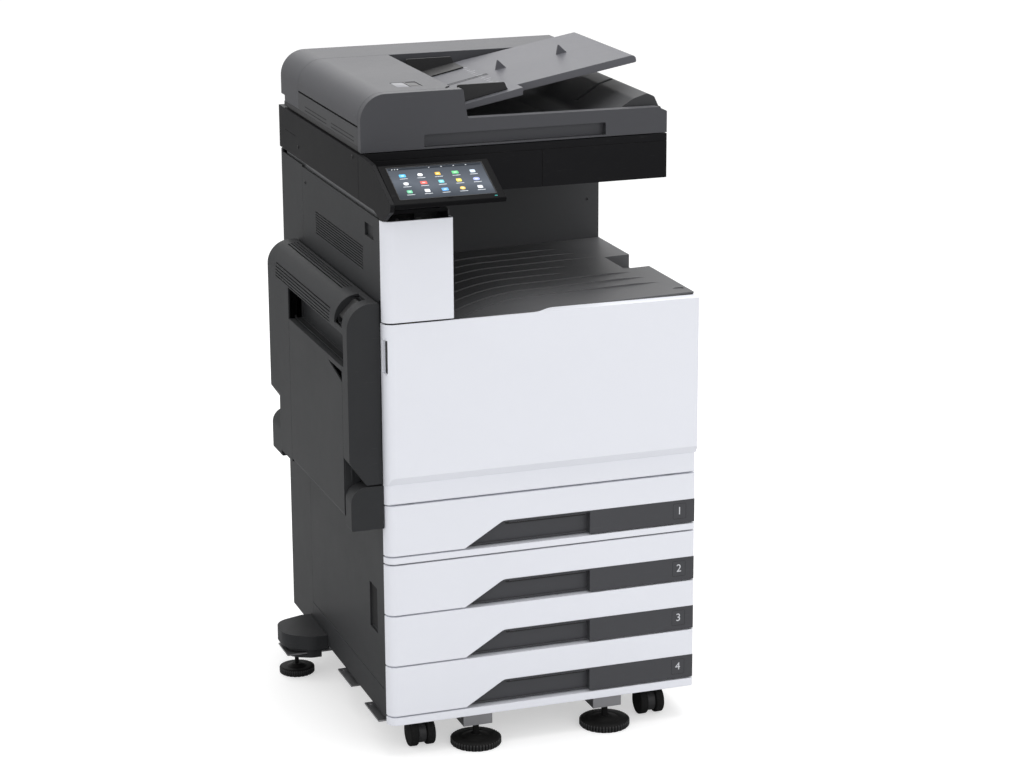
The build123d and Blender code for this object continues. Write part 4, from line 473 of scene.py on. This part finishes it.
class COPIER_OT_finishes(bpy.types.Operator):
    """Builds the finishes and paints every carried-over part with its own"""
    bl_idname = "copier.finishes"
    bl_label = "Finishes"

    def execute(self, context):
        sizes, colours = context.scene.copier_sizes, context.scene.copier_colours
        moulded_group()
        edge_group()
        dust_group()
        low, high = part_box("touch_screen")
        MADE.update(
            white=plastic("front_white_satin", colours.front_white, 0.34, 3200, 0.00001, 0.03,
                          (0.85, 0.85, 0.86), 0.15,
                          sizes.edge_radius, 0.03, 0.06, 0.15),
            cover=plastic("cover_grey_textured", colours.cover_grey, 0.5, 1500, 0.00006, 0.16,
                          (0.12, 0.125, 0.13), 0.5,
                          0.0014, 0.08, specular=0.1),
            deck=plastic("deck_grey_textured", colours.deck_grey, 0.52, 1700, 0.00005, 0.16,
                         (0.13, 0.13, 0.14), 0.4,
                         0.001, 0.14),
            grip=plastic("grip_grey_moulded", colours.grip_grey, 0.46, 1900, 0.00005, 0.12, (0.2, 0.2, 0.21),
                         0.4, 0.0008),
            feeder=plastic("feeder_grey_textured", colours.feeder_grey, 0.48, 1600, 0.00006, 0.12,
                           (0.2, 0.2, 0.22), 0.4,
                           0.0016, 0.12),
            # Painted light: the document tray is a lighter copy of the feeder grey for its lit top. The grip
            # lips use it as a painted highlight.
            tray=plastic("document_tray_grey", colours.tray_grey, 0.45, 1600, 0.00006, 0.1,
                         (0.28, 0.28, 0.3), 0.4,
                         0.0016, 0.1),
            # Painted light: the output deck is a lighter copy of the bay walls' grey, for its lit top.
            shelf=plastic("output_shelf_grey", colours.shelf_grey, 0.5, 1700, 0.00005, 0.14,
                          (0.15, 0.15, 0.16), 0.4,
                          0.001, 0.12),
            black=plastic("scanner_black_satin", colours.gloss_black, 0.32, 2600, 0.00002, 0.2,
                          (0.08, 0.08, 0.08), 0.3,
                          0.0012, 0.02, specular=0.015),
            works=plastic("works_black_moulded", colours.works_black, 0.5, 1800, 0.00006, 0.2,
                          (0.1, 0.1, 0.1), 0.4, 0.0008),
            panel=plastic("panel_black_gloss", (0.007, 0.007, 0.0075), 0.3, 3000, 0.000006, 0.2,
                          (0.04, 0.04, 0.04), 0.3,
                          0.0016, 0.01, 0.05, specular=0.01),
            steel=plastic("zinc_steel", colours.zinc, 0.36, 420, 0.00002, 0.3, (0.7, 0.7, 0.7), 0.4, 0.0005,
                          0.05,
                          0.25, 0.6, 0.85),
            painted=plastic("frame_paint", (0.16, 0.165, 0.17), 0.42, 900, 0.00004, 0.2, (0.45, 0.45, 0.46),
                            0.5, 0.0006,
                            0.15, 0.2, 0.5, 0.3),
            rubber=plastic("rubber_black", (0.008, 0.008, 0.008), 0.72, 1300, 0.0001, 0.3,
                           (0.04, 0.04, 0.04), 0.3, 0.0008,
                           0.08, specular=0.12),
            pad=plastic("pad_white_foam", (0.72, 0.72, 0.7), 0.8, 700, 0.00025, 0.08, (0.8, 0.8, 0.8), 0.2,
                        0.0005, 0.02),
            rail=plastic("ground_rail", (0.55, 0.55, 0.56), 0.2, 300, 0.00001, 0.1, (0.8, 0.8, 0.8), 0.2,
                         0.0004, 0.0,
                         0.1, 0.3, 1.0),
            board=plastic("board_and_supply", None, 0.45, 900, 0.00006, 0.3, (0.5, 0.5, 0.4), 0.3, 0.0003,
                          0.1,
                          colour_from=by_place(2, [(0.0, (0.35, 0.35, 0.36)), (0.61, (0.015, 0.09, 0.03))])),
            toner=plastic("toner_shells", None, 0.4, 1500, 0.00003, 0.15, (0.2, 0.2, 0.2), 0.4, 0.001, 0.08,
                          colour_from=by_place(0, self.toner_stops())),
            drum=plastic("drum_units", (0.03, 0.031, 0.033), 0.4, 1500, 0.00004, 0.2, (0.15, 0.15, 0.15),
                         0.4, 0.0008),
            foot=plastic("foot_disc_and_screw", (0.006, 0.006, 0.006), 0.5, 1300, 0.00006, 0.2,
                         (0.05, 0.05, 0.05), 0.3,
                         0.0008, 0.05, specular=0.1),
            glass=glass("platen_clear", (0.93, 0.97, 0.95), 0.02),
            display=screen_glass(low, high),
            mark=glowing("display_marks", 0.3),
            print=plastic("print_light_grey", (0.62, 0.63, 0.66), 0.5, 2500, 0.00001, 0.08, wear=0.0,
                          radius=0.0002, dust=0.0),
            seam=plastic("seam_shadow", (0.006, 0.006, 0.0065), 0.8, 2000, 0.00001, 0.1, wear=0.0,
                         radius=0.0001, dust=0.0),
            coloured=plastic("coloured_tabs", None, 0.38, 2000, 0.00002, 0.1, (0.8, 0.8, 0.8), 0.2, 0.0006,
                             0.05,
                             colour_from=by_tint),
        )
        for name, members in FINISHES.items():
            for member in members:
                mesh = NODES[member].data
                mesh.materials.clear()
                mesh.materials.append(finish(name))
        return {"FINISHED"}

    def toner_stops(self):
        low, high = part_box("toner_cartridges")
        step = (high.x - low.x - 0.076) / 3
        shades = ((0.75, 0.52, 0.03), (0.55, 0.03, 0.16), (0.02, 0.24, 0.5), (0.02, 0.02, 0.022))
        return [(low.x - 0.01 + i * step, shade) for i, shade in enumerate(shades)]


CASTERS = [f"{a}_{b}" for a in ("front", "rear") for b in ("left", "right")]
FINISHES = {
    "white": ["front_door", "column_cover", "front_trim"] + [f"tray_{k}_front" for k in (1, 2, 3, 4)],
    "grip": [f"tray_{k}_tub" for k in (1, 2, 3, 4)],
    "cover": ["left_cover", "right_cover", "rear_cover", "left_door", "bypass_tray", "side_housings"],
    "deck": ["output_bay_walls", "adf_feeder_frame"],
    "shelf": ["output_deck"],
    "tray": ["adf_input_tray"],
    "feeder": ["adf_covers", "adf_top_cover"],
    "black": ["scanner_housing", "scanner_front_panel", "panel_console"],
    "panel": ["control_panel"],
    "works": ["adf_base", "adf_guide_front", "adf_guide_rear", "left_door_latch", "power_inlet",
              "power_button",
              "inner_cover", "fuser_unit", "scan_carriage"] + [f"caster_fork_{c}" for c in CASTERS],
    "rubber": ["adf_feed_roller"] + [f"caster_wheels_{c}" for c in CASTERS],
    "steel": ["base_frame", "hinge_brackets", "tray_runners"],
    "painted": ["frame_plates", "back_plate"],
    "rail": ["scan_rails"],
    "pad": ["document_pad"],
    "board": ["circuit_boards"],
    "toner": ["toner_cartridges"],
    "drum": ["imaging_units"],
    "foot": ["leveler_left", "leveler_right", "leveler_rear"],
    "glass": ["platen_glass"],
    "display": ["touch_screen"],
}


class COPIER_OT_tray_numerals(bpy.types.Operator):
    """Adds the raised numeral and its square seam to each paper tray's grip band"""
    bl_idname = "copier.tray_numerals"
    bl_label = "Tray Numerals"

    def execute(self, context):
        tall = context.scene.copier_sizes.numeral_height
        for k in (1, 2, 3, 4):
            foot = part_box(f"tray_{k}_front")[0].z
            spot = Vector(cabinet((569, 0.48, 0))[0]) + Vector((0, 0, foot + 0.0235))
            words = bpy.data.curves.new("numeral", "FONT")
            words.body, words.size, words.extrude = str(k), tall * 1.4, 0.0001
            words.align_x, words.align_y = "CENTER", "CENTER"
            text = bpy.data.objects.new("numeral", words)
            context.scene.collection.objects.link(text)
            context.view_layer.update()
            mesh = bpy.data.meshes.new_from_object(text.evaluated_get(context.evaluated_depsgraph_get()))
            bpy.data.objects.remove(text)
            mesh.transform(Matrix.Translation(spot) @ Matrix.Rotation(math.pi / 2, 4, "X"))
            mesh.materials.clear()
            mesh.materials.append(finish("print"))
            made = bpy.data.objects.new(f"tray_{k}_numeral", mesh)
            context.scene.collection.objects.link(made)
            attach(made, f"paper_tray_{k}")
            seam = ringed(spot, (1, 0, 0), (0, 0, 1), 0.026, 0.03, 0.002, 0.0004, 0.00008)
            piece(f"tray_{k}_numeral_seam", [seam], f"paper_tray_{k}", finish("seam"), False)
        return {"FINISHED"}


class COPIER_OT_display(bpy.types.Operator):
    """Lays the picture marks, the status bar and the lamp on the control panel"""
    bl_idname = "copier.display"
    bl_label = "Display Marks"

    def execute(self, context):
        size = context.scene.copier_sizes.icon_size
        up = np.array((0, math.cos(SCREEN_TILT), math.sin(SCREEN_TILT)))
        out = np.array((0, -math.sin(SCREEN_TILT), math.cos(SCREEN_TILT)))
        across = np.array((1.0, 0, 0))
        co = np.array([v.co for v in NODES["touch_screen"].data.vertices], float)
        u, v, x = co @ up, co @ out, co[:, 0]
        face, left, right, low, high = v.max(), x.min(), x.max(), u.min(), u.max()
        def spot(sx, su, lift=0.00005):
            return across * (left + sx * (right - left)) + up * (low + su * (high - low)) + out * (face + lift)
        shades = [(0.1, 0.45, 0.75), (0.75, 0.78, 0.8), (0.75, 0.42, 0.06), (0.12, 0.5, 0.2), (0.5, 0.6, 0.7),
                  (0.7, 0.72, 0.75), (0.65, 0.12, 0.1), (0.16, 0.55, 0.62), (0.8, 0.66, 0.1),
                  (0.35, 0.4, 0.75),
                  (0.15, 0.5, 0.3), (0.7, 0.72, 0.76), (0.12, 0.35, 0.7), (0.78, 0.5, 0.12),
                  (0.6, 0.62, 0.66)]
        parts, tints = [], []
        for i, shade in enumerate(shades):
            column, row = i % 5, i // 5
            sx, su = 0.13 + column * 0.185, 0.74 - row * 0.255
            wide = size * (1.0 if i % 3 else 1.25)
            parts.append(tablet(spot(sx, su), across, up, wide, size * 0.9,
                                size * (0.42 if i % 4 == 1 else 0.18), 0.00012))
            tints.append(shade)
            parts.append(tablet(spot(sx, su, 0.00017), across, up, wide * 0.45, size * 0.34, size * 0.08,
                                0.00006))
            tints.append(tuple(0.35 + 0.6 * c for c in shade))
            parts.append(tablet(spot(sx, su - 0.095), across, up, size * 1.5, size * 0.11, size * 0.04,
                                0.00005))
            tints.append((0.7, 0.74, 0.78))
        parts.append(tablet(spot(0.5, 0.955), across, up, (right - left) * 0.98, 0.0052, 0.0004, 0.00008))
        tints.append((0.012, 0.016, 0.022))
        for i in range(7):
            parts.append(tablet(spot(0.05 + i * (0.03 if i < 3 else 0.13), 0.955, 0.00014), across, up,
                                0.0024, 0.0016, 0.0005, 0.00005))
            tints.append((0.6, 0.62, 0.65))
        piece("display_marks", parts, "control_panel", finish("mark"), False, tints)
        rim = ringed(spot(0.5, 0.5, 0.00036), across, up, right - left + 0.003, high - low + 0.003, 0.002,
                     0.0009, 0.0003)
        piece("display_rim", [rim], "control_panel", finish("works"), False)
        lamp = tablet(spot(0.985, -0.09, 0.00042), across, up, 0.005, 0.002, 0.0009, 0.0006)
        piece("panel_lamp", [lamp], "control_panel", finish("coloured"), True,
              [(0.01, 0.32, 0.3)])
        return {"FINISHED"}


class COPIER_OT_feeder_details(bpy.types.Operator):
    """Adds the feeder's latch paddle, side slots, tray ticks and sensor groove"""
    bl_idname = "copier.feeder_details"
    bl_label = "Feeder Details"

    def execute(self, context):
        top = FEEDER_TOP / MM
        light = tablet(cabinet((104.5, 215, top - 1.45))[0], (1, 0, 0), (0, 1, 0), 0.0225, 0.0465, 0.0012,
                       0.0012)
        dark = tablet(cabinet((127.8, 215, top - 1.45))[0], (1, 0, 0), (0, 1, 0), 0.0225, 0.0465, 0.0012,
                      0.0006)
        lip = tablet(cabinet((118.5, 215, top - 0.9))[0], (1, 0, 0), (0, 1, 0), 0.0028, 0.044, 0.0008, 0.001)
        tints = [(0.17, 0.172, 0.19), (0.02, 0.02, 0.022), (0.05, 0.05, 0.055)]
        piece("feeder_latch_paddle", [light, dark, lip], "feeder_top_cover", finish("coloured"),
              True, tints)
        slots = []
        for y, z, long in ((250, 1117, 150), (432, 1117, 150), (250, 1124, 150), (432, 1124, 150)):
            slots.append(tablet(cabinet((5.02, y, z))[0], (0, -1, 0), (0, 0, 1), long * MM, 0.0016, 0.0007,
                                0.00012))
        piece("feeder_side_slots", slots, "document_feeder", finish("seam"), False)
        slope = math.atan(0.213)
        way = np.array((math.cos(slope), 0, math.sin(slope)))
        def on_tray(x, y):
            return cabinet((x, y, top - 43 + 0.213 * (x - 208) + 0.02))[0]
        ticks = [strip(on_tray(306, y), on_tray(306 + wide, y), (0, 1, 0), 0.0007, 0.00008)
                 for y, wide in zip(range(250, 520, 15), [14, 8, 8, 14, 8, 8] * 3)]
        piece("document_tray_ticks", ticks, "document_tray", finish("print"), False)
        grooves = [strip(on_tray(232, y), on_tray(326, y), (0, 1, 0), 0.0035, 0.0001) for y in (372, 380)]
        piece("document_tray_grooves", grooves, "document_tray", finish("seam"), False)
        return {"FINISHED"}


class COPIER_OT_screws(bpy.types.Operator):
    """Adds the cross-head screws on the covers and back"""
    bl_idname = "copier.screws"
    bl_label = "Cover Screws"

    def execute(self, context):
        r = context.scene.copier_sizes.screw_radius
        depth = (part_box("rear_cover")[1].y - CORNER.y) / MM
        left = [(0, 546, 1040), (0, 170, 1090), (0, 500, 980)]
        dark = [screw_head(cabinet(p)[0], (-1, 0, 0), r) for p in left]
        piece("side_cover_screws", dark, "cabinet", finish("works"), True)
        heads = []
        wide = (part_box("right_cover")[1].x - CORNER.x) / MM
        right = [(wide, 40, 150), (wide, 500, 150), (wide, 500, 700), (wide, 40, 700), (wide, 600, 300),
                 (wide, 600, 900)]
        heads += [screw_head(cabinet(p)[0], (1, 0, 0), r) for p in right]
        back = [(x, depth, z) for x in (24, 300, 576) for z in (90, 520, 990)]
        heads += [screw_head(cabinet(p)[0], (0, 1, 0), r) for p in back if p != (300, depth, 990)]
        piece("cover_screws", heads, "cabinet", finish("steel"), True)
        return {"FINISHED"}


class COPIER_OT_exit_rollers(bpy.types.Operator):
    """Adds the paper exit shafts with their ribbed wheels behind the output slots"""
    bl_idname = "copier.exit_rollers"
    bl_label = "Exit Rollers"

    def execute(self, context):
        deck = (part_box("front_door")[1].z + 0.003) / MM
        shafts, wheels = [], []
        for z in (deck - 7, deck + 72):
            shafts.append(turned([(0.0001, 0), (0.003, 0), (0.003, 0.37), (0.0001, 0.37)],
                                 cabinet((113, 66, z))[0], (0, 1, 0), 16))
            for i in range(6):
                ridge = [(0.0031, 0.0), (0.0085, 0.001), (0.009, 0.003), (0.0085, 0.006), (0.009, 0.009),
                         (0.0085, 0.012),
                         (0.009, 0.015), (0.0085, 0.017), (0.0031, 0.018)]
                wheels.append(turned(ridge, cabinet((113, 80 + i * 60, z))[0], (0, 1, 0), 20))
        piece("exit_shafts", shafts, "cabinet", finish("rail"), True)
        piece("exit_wheels", wheels, "cabinet", finish("rubber"), True)
        return {"FINISHED"}


class COPIER_OT_foot_knurls(bpy.types.Operator):
    """Adds the grip ribs round the rims of the three screw feet"""
    bl_idname = "copier.foot_knurls"
    bl_label = "Foot Knurls"

    def execute(self, context):
        count = context.scene.copier_sizes.foot_knurls
        for side in ("left", "right", "rear"):
            low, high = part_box(f"leveler_{side}")
            centre = (low + high) / 2
            radius = (high.x - low.x) / 2
            ribs = []
            for a in np.linspace(0, 2 * np.pi, count, endpoint=False):
                foot = (centre.x + radius * math.cos(a), centre.y + radius * math.sin(a), 0.0006)
                ribs.append(turned([(0.0004, 0), (0.0017, 0.0006), (0.0017, 0.0106), (0.0004, 0.0116)], foot,
                                   (0, 0, 1), 6))
            foot = (centre.x, centre.y, 0.0)
            rim = [(radius - 0.0004, 0.0005), (radius - 0.0003, 0.0115), (radius - 0.0016, 0.0127),
                   (0.0275, 0.0132)]
            piece(f"foot_rim_{side}", [turned(rim, foot, (0, 0, 1), 48)], f"leveler_{side}", finish("foot"),
                  True)
            piece(f"foot_knurls_{side}", ribs, f"leveler_{side}", finish("works"), True)
        return {"FINISHED"}


class COPIER_OT_engine_details(bpy.types.Operator):
    """Adds the coloured end caps of the toner cartridges and the column's inner ribs"""
    bl_idname = "copier.engine_details"
    bl_label = "Engine Details"

    def execute(self, context):
        low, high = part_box("toner_cartridges")
        z = (low.z + high.z) / 2 + 0.003
        shades = ((0.78, 0.56, 0.03), (0.6, 0.03, 0.18), (0.02, 0.28, 0.55), (0.03, 0.03, 0.03))
        step = (high.x - low.x - 0.076) / 3
        tabs = []
        for i in range(4):
            x = low.x + 0.038 + i * step
            tabs.append(tablet((x + 0.02, low.y + 0.0058, z + 0.012), (1, 0, 0), (0, 0, 1), 0.012, 0.018,
                               0.003, 0.0008))
        piece("toner_colour_tabs", tabs, "cabinet", finish("coloured"), True, shades)
        low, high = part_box("column_cover")
        ribs = []
        for x, wide in ((30, 8), (52, 3), (70, 12), (92, 3)):
            ribs.append(tablet(cabinet((x, 1.5, high.z / MM - 10))[0], (1, 0, 0), (0, 1, 0), wide * MM,
                               0.009, 0.001, 0.012))
        piece("column_ribs", ribs, "cabinet", finish("works"), False)
        # The painted shade in the pockets and tray grips, and the painted highlight on the grip lips.
        self.linings()
        return {"FINISHED"}

    def linings(self):
        """Painted shade and highlight: dark sheets on the floors of the hand pockets, a dark strip under each
        tray grip's ceiling, and the lit lip inside each tray's grip as a painted highlight.
        """
        wide = (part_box("right_cover")[1].x - CORNER.x) / MM
        # Dark sheets as painted shade on the floors of the side hand pockets.
        pockets = []
        for x, way in ((3.85, -1), (wide - 3.85, 1)):
            pockets.append(tablet(cabinet((x, 89, 264.5))[0], (0, way, 0), (0, 0, 1), 0.0415, 0.078, 0.004,
                                  0.0001, 0.0))
        piece("carry_pocket_painted_shade", pockets, "cabinet", finish("seam"), False)
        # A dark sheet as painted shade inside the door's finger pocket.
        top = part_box("front_door")[1].z
        spot = Vector(cabinet((5.9, -1.5, 0))[0])
        floor = tablet((spot.x, spot.y, top - 0.0585), (0, -1, 0), (0, 0, 1), 0.013, 0.06, 0.002, 0.0001, 0.0)
        piece("door_pocket_painted_shade", [floor], "front_door", finish("works"), False)
        for k in (1, 2, 3, 4):
            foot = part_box(f"tray_{k}_front")[0].z / MM
            # A light strip as a painted highlight along the lip at the top of each tray's grip recess.
            lip = tablet(cabinet((309, 3.4, foot + 39.9))[0], (1, 0, 0), (0, 0, 1), 0.15, 0.0011, 0.0005,
                         0.0006)
            # A dark strip as painted shade under the ceiling of each tray's grip recess.
            shade = tablet(cabinet((309, 14.9, foot + 36.6))[0], (1, 0, 0), (0, 0, 1), 0.158, 0.0085, 0.004,
                           0.0001, 0.0)
            piece(f"tray_{k}_grip_lip_painted_highlight", [lip], f"paper_tray_{k}", finish("tray"), True)
            piece(f"tray_{k}_grip_shade", [shade], f"paper_tray_{k}", finish("works"), False)


class COPIER_OT_studio(bpy.types.Operator):
    """Sets the pale floor, the soft lights, the white surroundings and the camera"""
    bl_idname = "copier.studio"
    bl_label = "Studio"

    def execute(self, context):
        scene = context.scene
        floor_mesh = bpy.data.meshes.new("studio_floor")
        t = np.linspace(-FLOOR_REACH, FLOOR_REACH, 15)
        x, y = np.meshgrid(t, t, indexing="ij")
        points = np.stack([x.ravel(), y.ravel(), np.full(x.size, -0.0004)], 1)
        floor_mesh.from_pydata(points.tolist(), [], grid_faces(15, 15).tolist())
        floor_mesh.flip_normals()
        floor = bpy.data.objects.new("studio_floor", floor_mesh)
        scene.collection.objects.link(floor)
        ground = bpy.data.materials.new("studio_paper")
        ground.use_nodes = True
        shader = ground.node_tree.nodes["Principled BSDF"]
        where = node(ground.node_tree, "TexCoord").outputs["Object"]
        tone = node(ground.node_tree, "TexNoise", {"Vector": where, "Scale": 1.5}).outputs[0]
        tone = node(ground.node_tree, "MapRange", {"Value": tone, 3: 0.62, 4: 0.66}).outputs[0]
        grey = node(ground.node_tree, "CombineColor", {0: tone, 1: tone, 2: tone}).outputs[0]
        ground.node_tree.links.new(grey, shader.inputs["Base Color"])
        shader.inputs["Roughness"].default_value = 0.9
        seen = node(ground.node_tree, "LightPath").outputs["Is Camera Ray"]
        lift = math_node(ground.node_tree, "MULTIPLY", seen, 0.5)
        ground.node_tree.links.new(node(ground.node_tree, "CombineColor",
                                        {0: lift, 1: lift, 2: lift}).outputs[0],
                                   shader.inputs["Emission Color"])
        shader.inputs["Emission Strength"].default_value = 1.0
        floor_mesh.materials.append(ground)
        world = bpy.data.worlds.new("studio_white")
        world.use_nodes = True
        seen = node(world.node_tree, "LightPath").outputs["Is Camera Ray"]
        power = node(world.node_tree, "MapRange", {"Value": seen, 3: 0.8, 4: 1.3}).outputs[0]
        backdrop = world.node_tree.nodes["Background"]
        backdrop.inputs[0].default_value = (1, 1, 1, 1)
        world.node_tree.links.new(power, backdrop.inputs[1])
        scene.world = world
        for name, power, size, place in SOFTBOXES:
            lamp = bpy.data.lights.new(name, "AREA")
            lamp.energy, lamp.size = power, size
            holder = bpy.data.objects.new(name, lamp)
            scene.collection.objects.link(holder)
            holder.location = place
            holder.rotation_mode = "QUATERNION"
            holder.rotation_quaternion = (Vector(LAMP_TARGET) - Vector(place)).to_track_quat("-Z", "Y")
        self.camera(scene)
        scene.view_settings.view_transform = "Standard"
        return {"FINISHED"}

    def camera(self, scene):
        """The back way comes from turn and height, the right way from a cross, then both roll."""
        a, e, roll = (math.radians(v) for v in (CAMERA_TURN, CAMERA_HEIGHT, CAMERA_ROLL))
        back = Vector((math.sin(a) * math.cos(e), -math.cos(a) * math.cos(e), math.sin(e)))
        right = (-back).cross(Vector((0, 0, 1))).normalized()
        up = back.cross(right)
        right2 = math.cos(roll) * right + math.sin(roll) * up
        up2 = -math.sin(roll) * right + math.cos(roll) * up
        data = bpy.data.cameras.new("studio_camera")
        data.lens, data.sensor_width, data.shift_x = scene.copier_sizes.lens, 36.0, -0.0063
        data.clip_end = 60.0
        holder = bpy.data.objects.new("studio_camera", data)
        scene.collection.objects.link(holder)
        turn = Matrix((right2, up2, back)).transposed().to_4x4()
        holder.matrix_world = Matrix.Translation(CAMERA_PLACE) @ turn
        scene.camera = holder


class COPIER_PT_panel(bpy.types.Panel):
    """Lists the copier's settings and makers"""
    bl_label = "Copier"
    bl_idname = "COPIER_PT_panel"
    bl_space_type = "VIEW_3D"
    bl_region_type = "UI"
    bl_category = "Copier"

    def draw(self, context):
        for group in (context.scene.copier_sizes, context.scene.copier_colours):
            for key in group.bl_rna.properties.keys():
                if key not in ("rna_type", "name"):
                    self.layout.prop(group, key)
        for maker in MAKERS:
            self.layout.operator(maker.bl_idname)


MAKERS = (COPIER_OT_finishes, COPIER_OT_tray_numerals, COPIER_OT_display, COPIER_OT_feeder_details,
          COPIER_OT_screws,
          COPIER_OT_exit_rollers, COPIER_OT_foot_knurls, COPIER_OT_engine_details, COPIER_OT_studio)


def register():
    for kind in (CopierSizes, CopierColours, *MAKERS, COPIER_PT_panel):
        bpy.utils.register_class(kind)
    bpy.types.Scene.copier_sizes = PointerProperty(type=CopierSizes)
    bpy.types.Scene.copier_colours = PointerProperty(type=CopierColours)


def unregister():
    del bpy.types.Scene.copier_sizes, bpy.types.Scene.copier_colours
    for kind in (COPIER_PT_panel, *MAKERS[::-1], CopierColours, CopierSizes):
        bpy.utils.unregister_class(kind)


def main():
    register()
    for maker in MAKERS:
        area, name = maker.bl_idname.split(".")
        getattr(getattr(bpy.ops, area), name)()


if __name__ == "__main__":
    main()
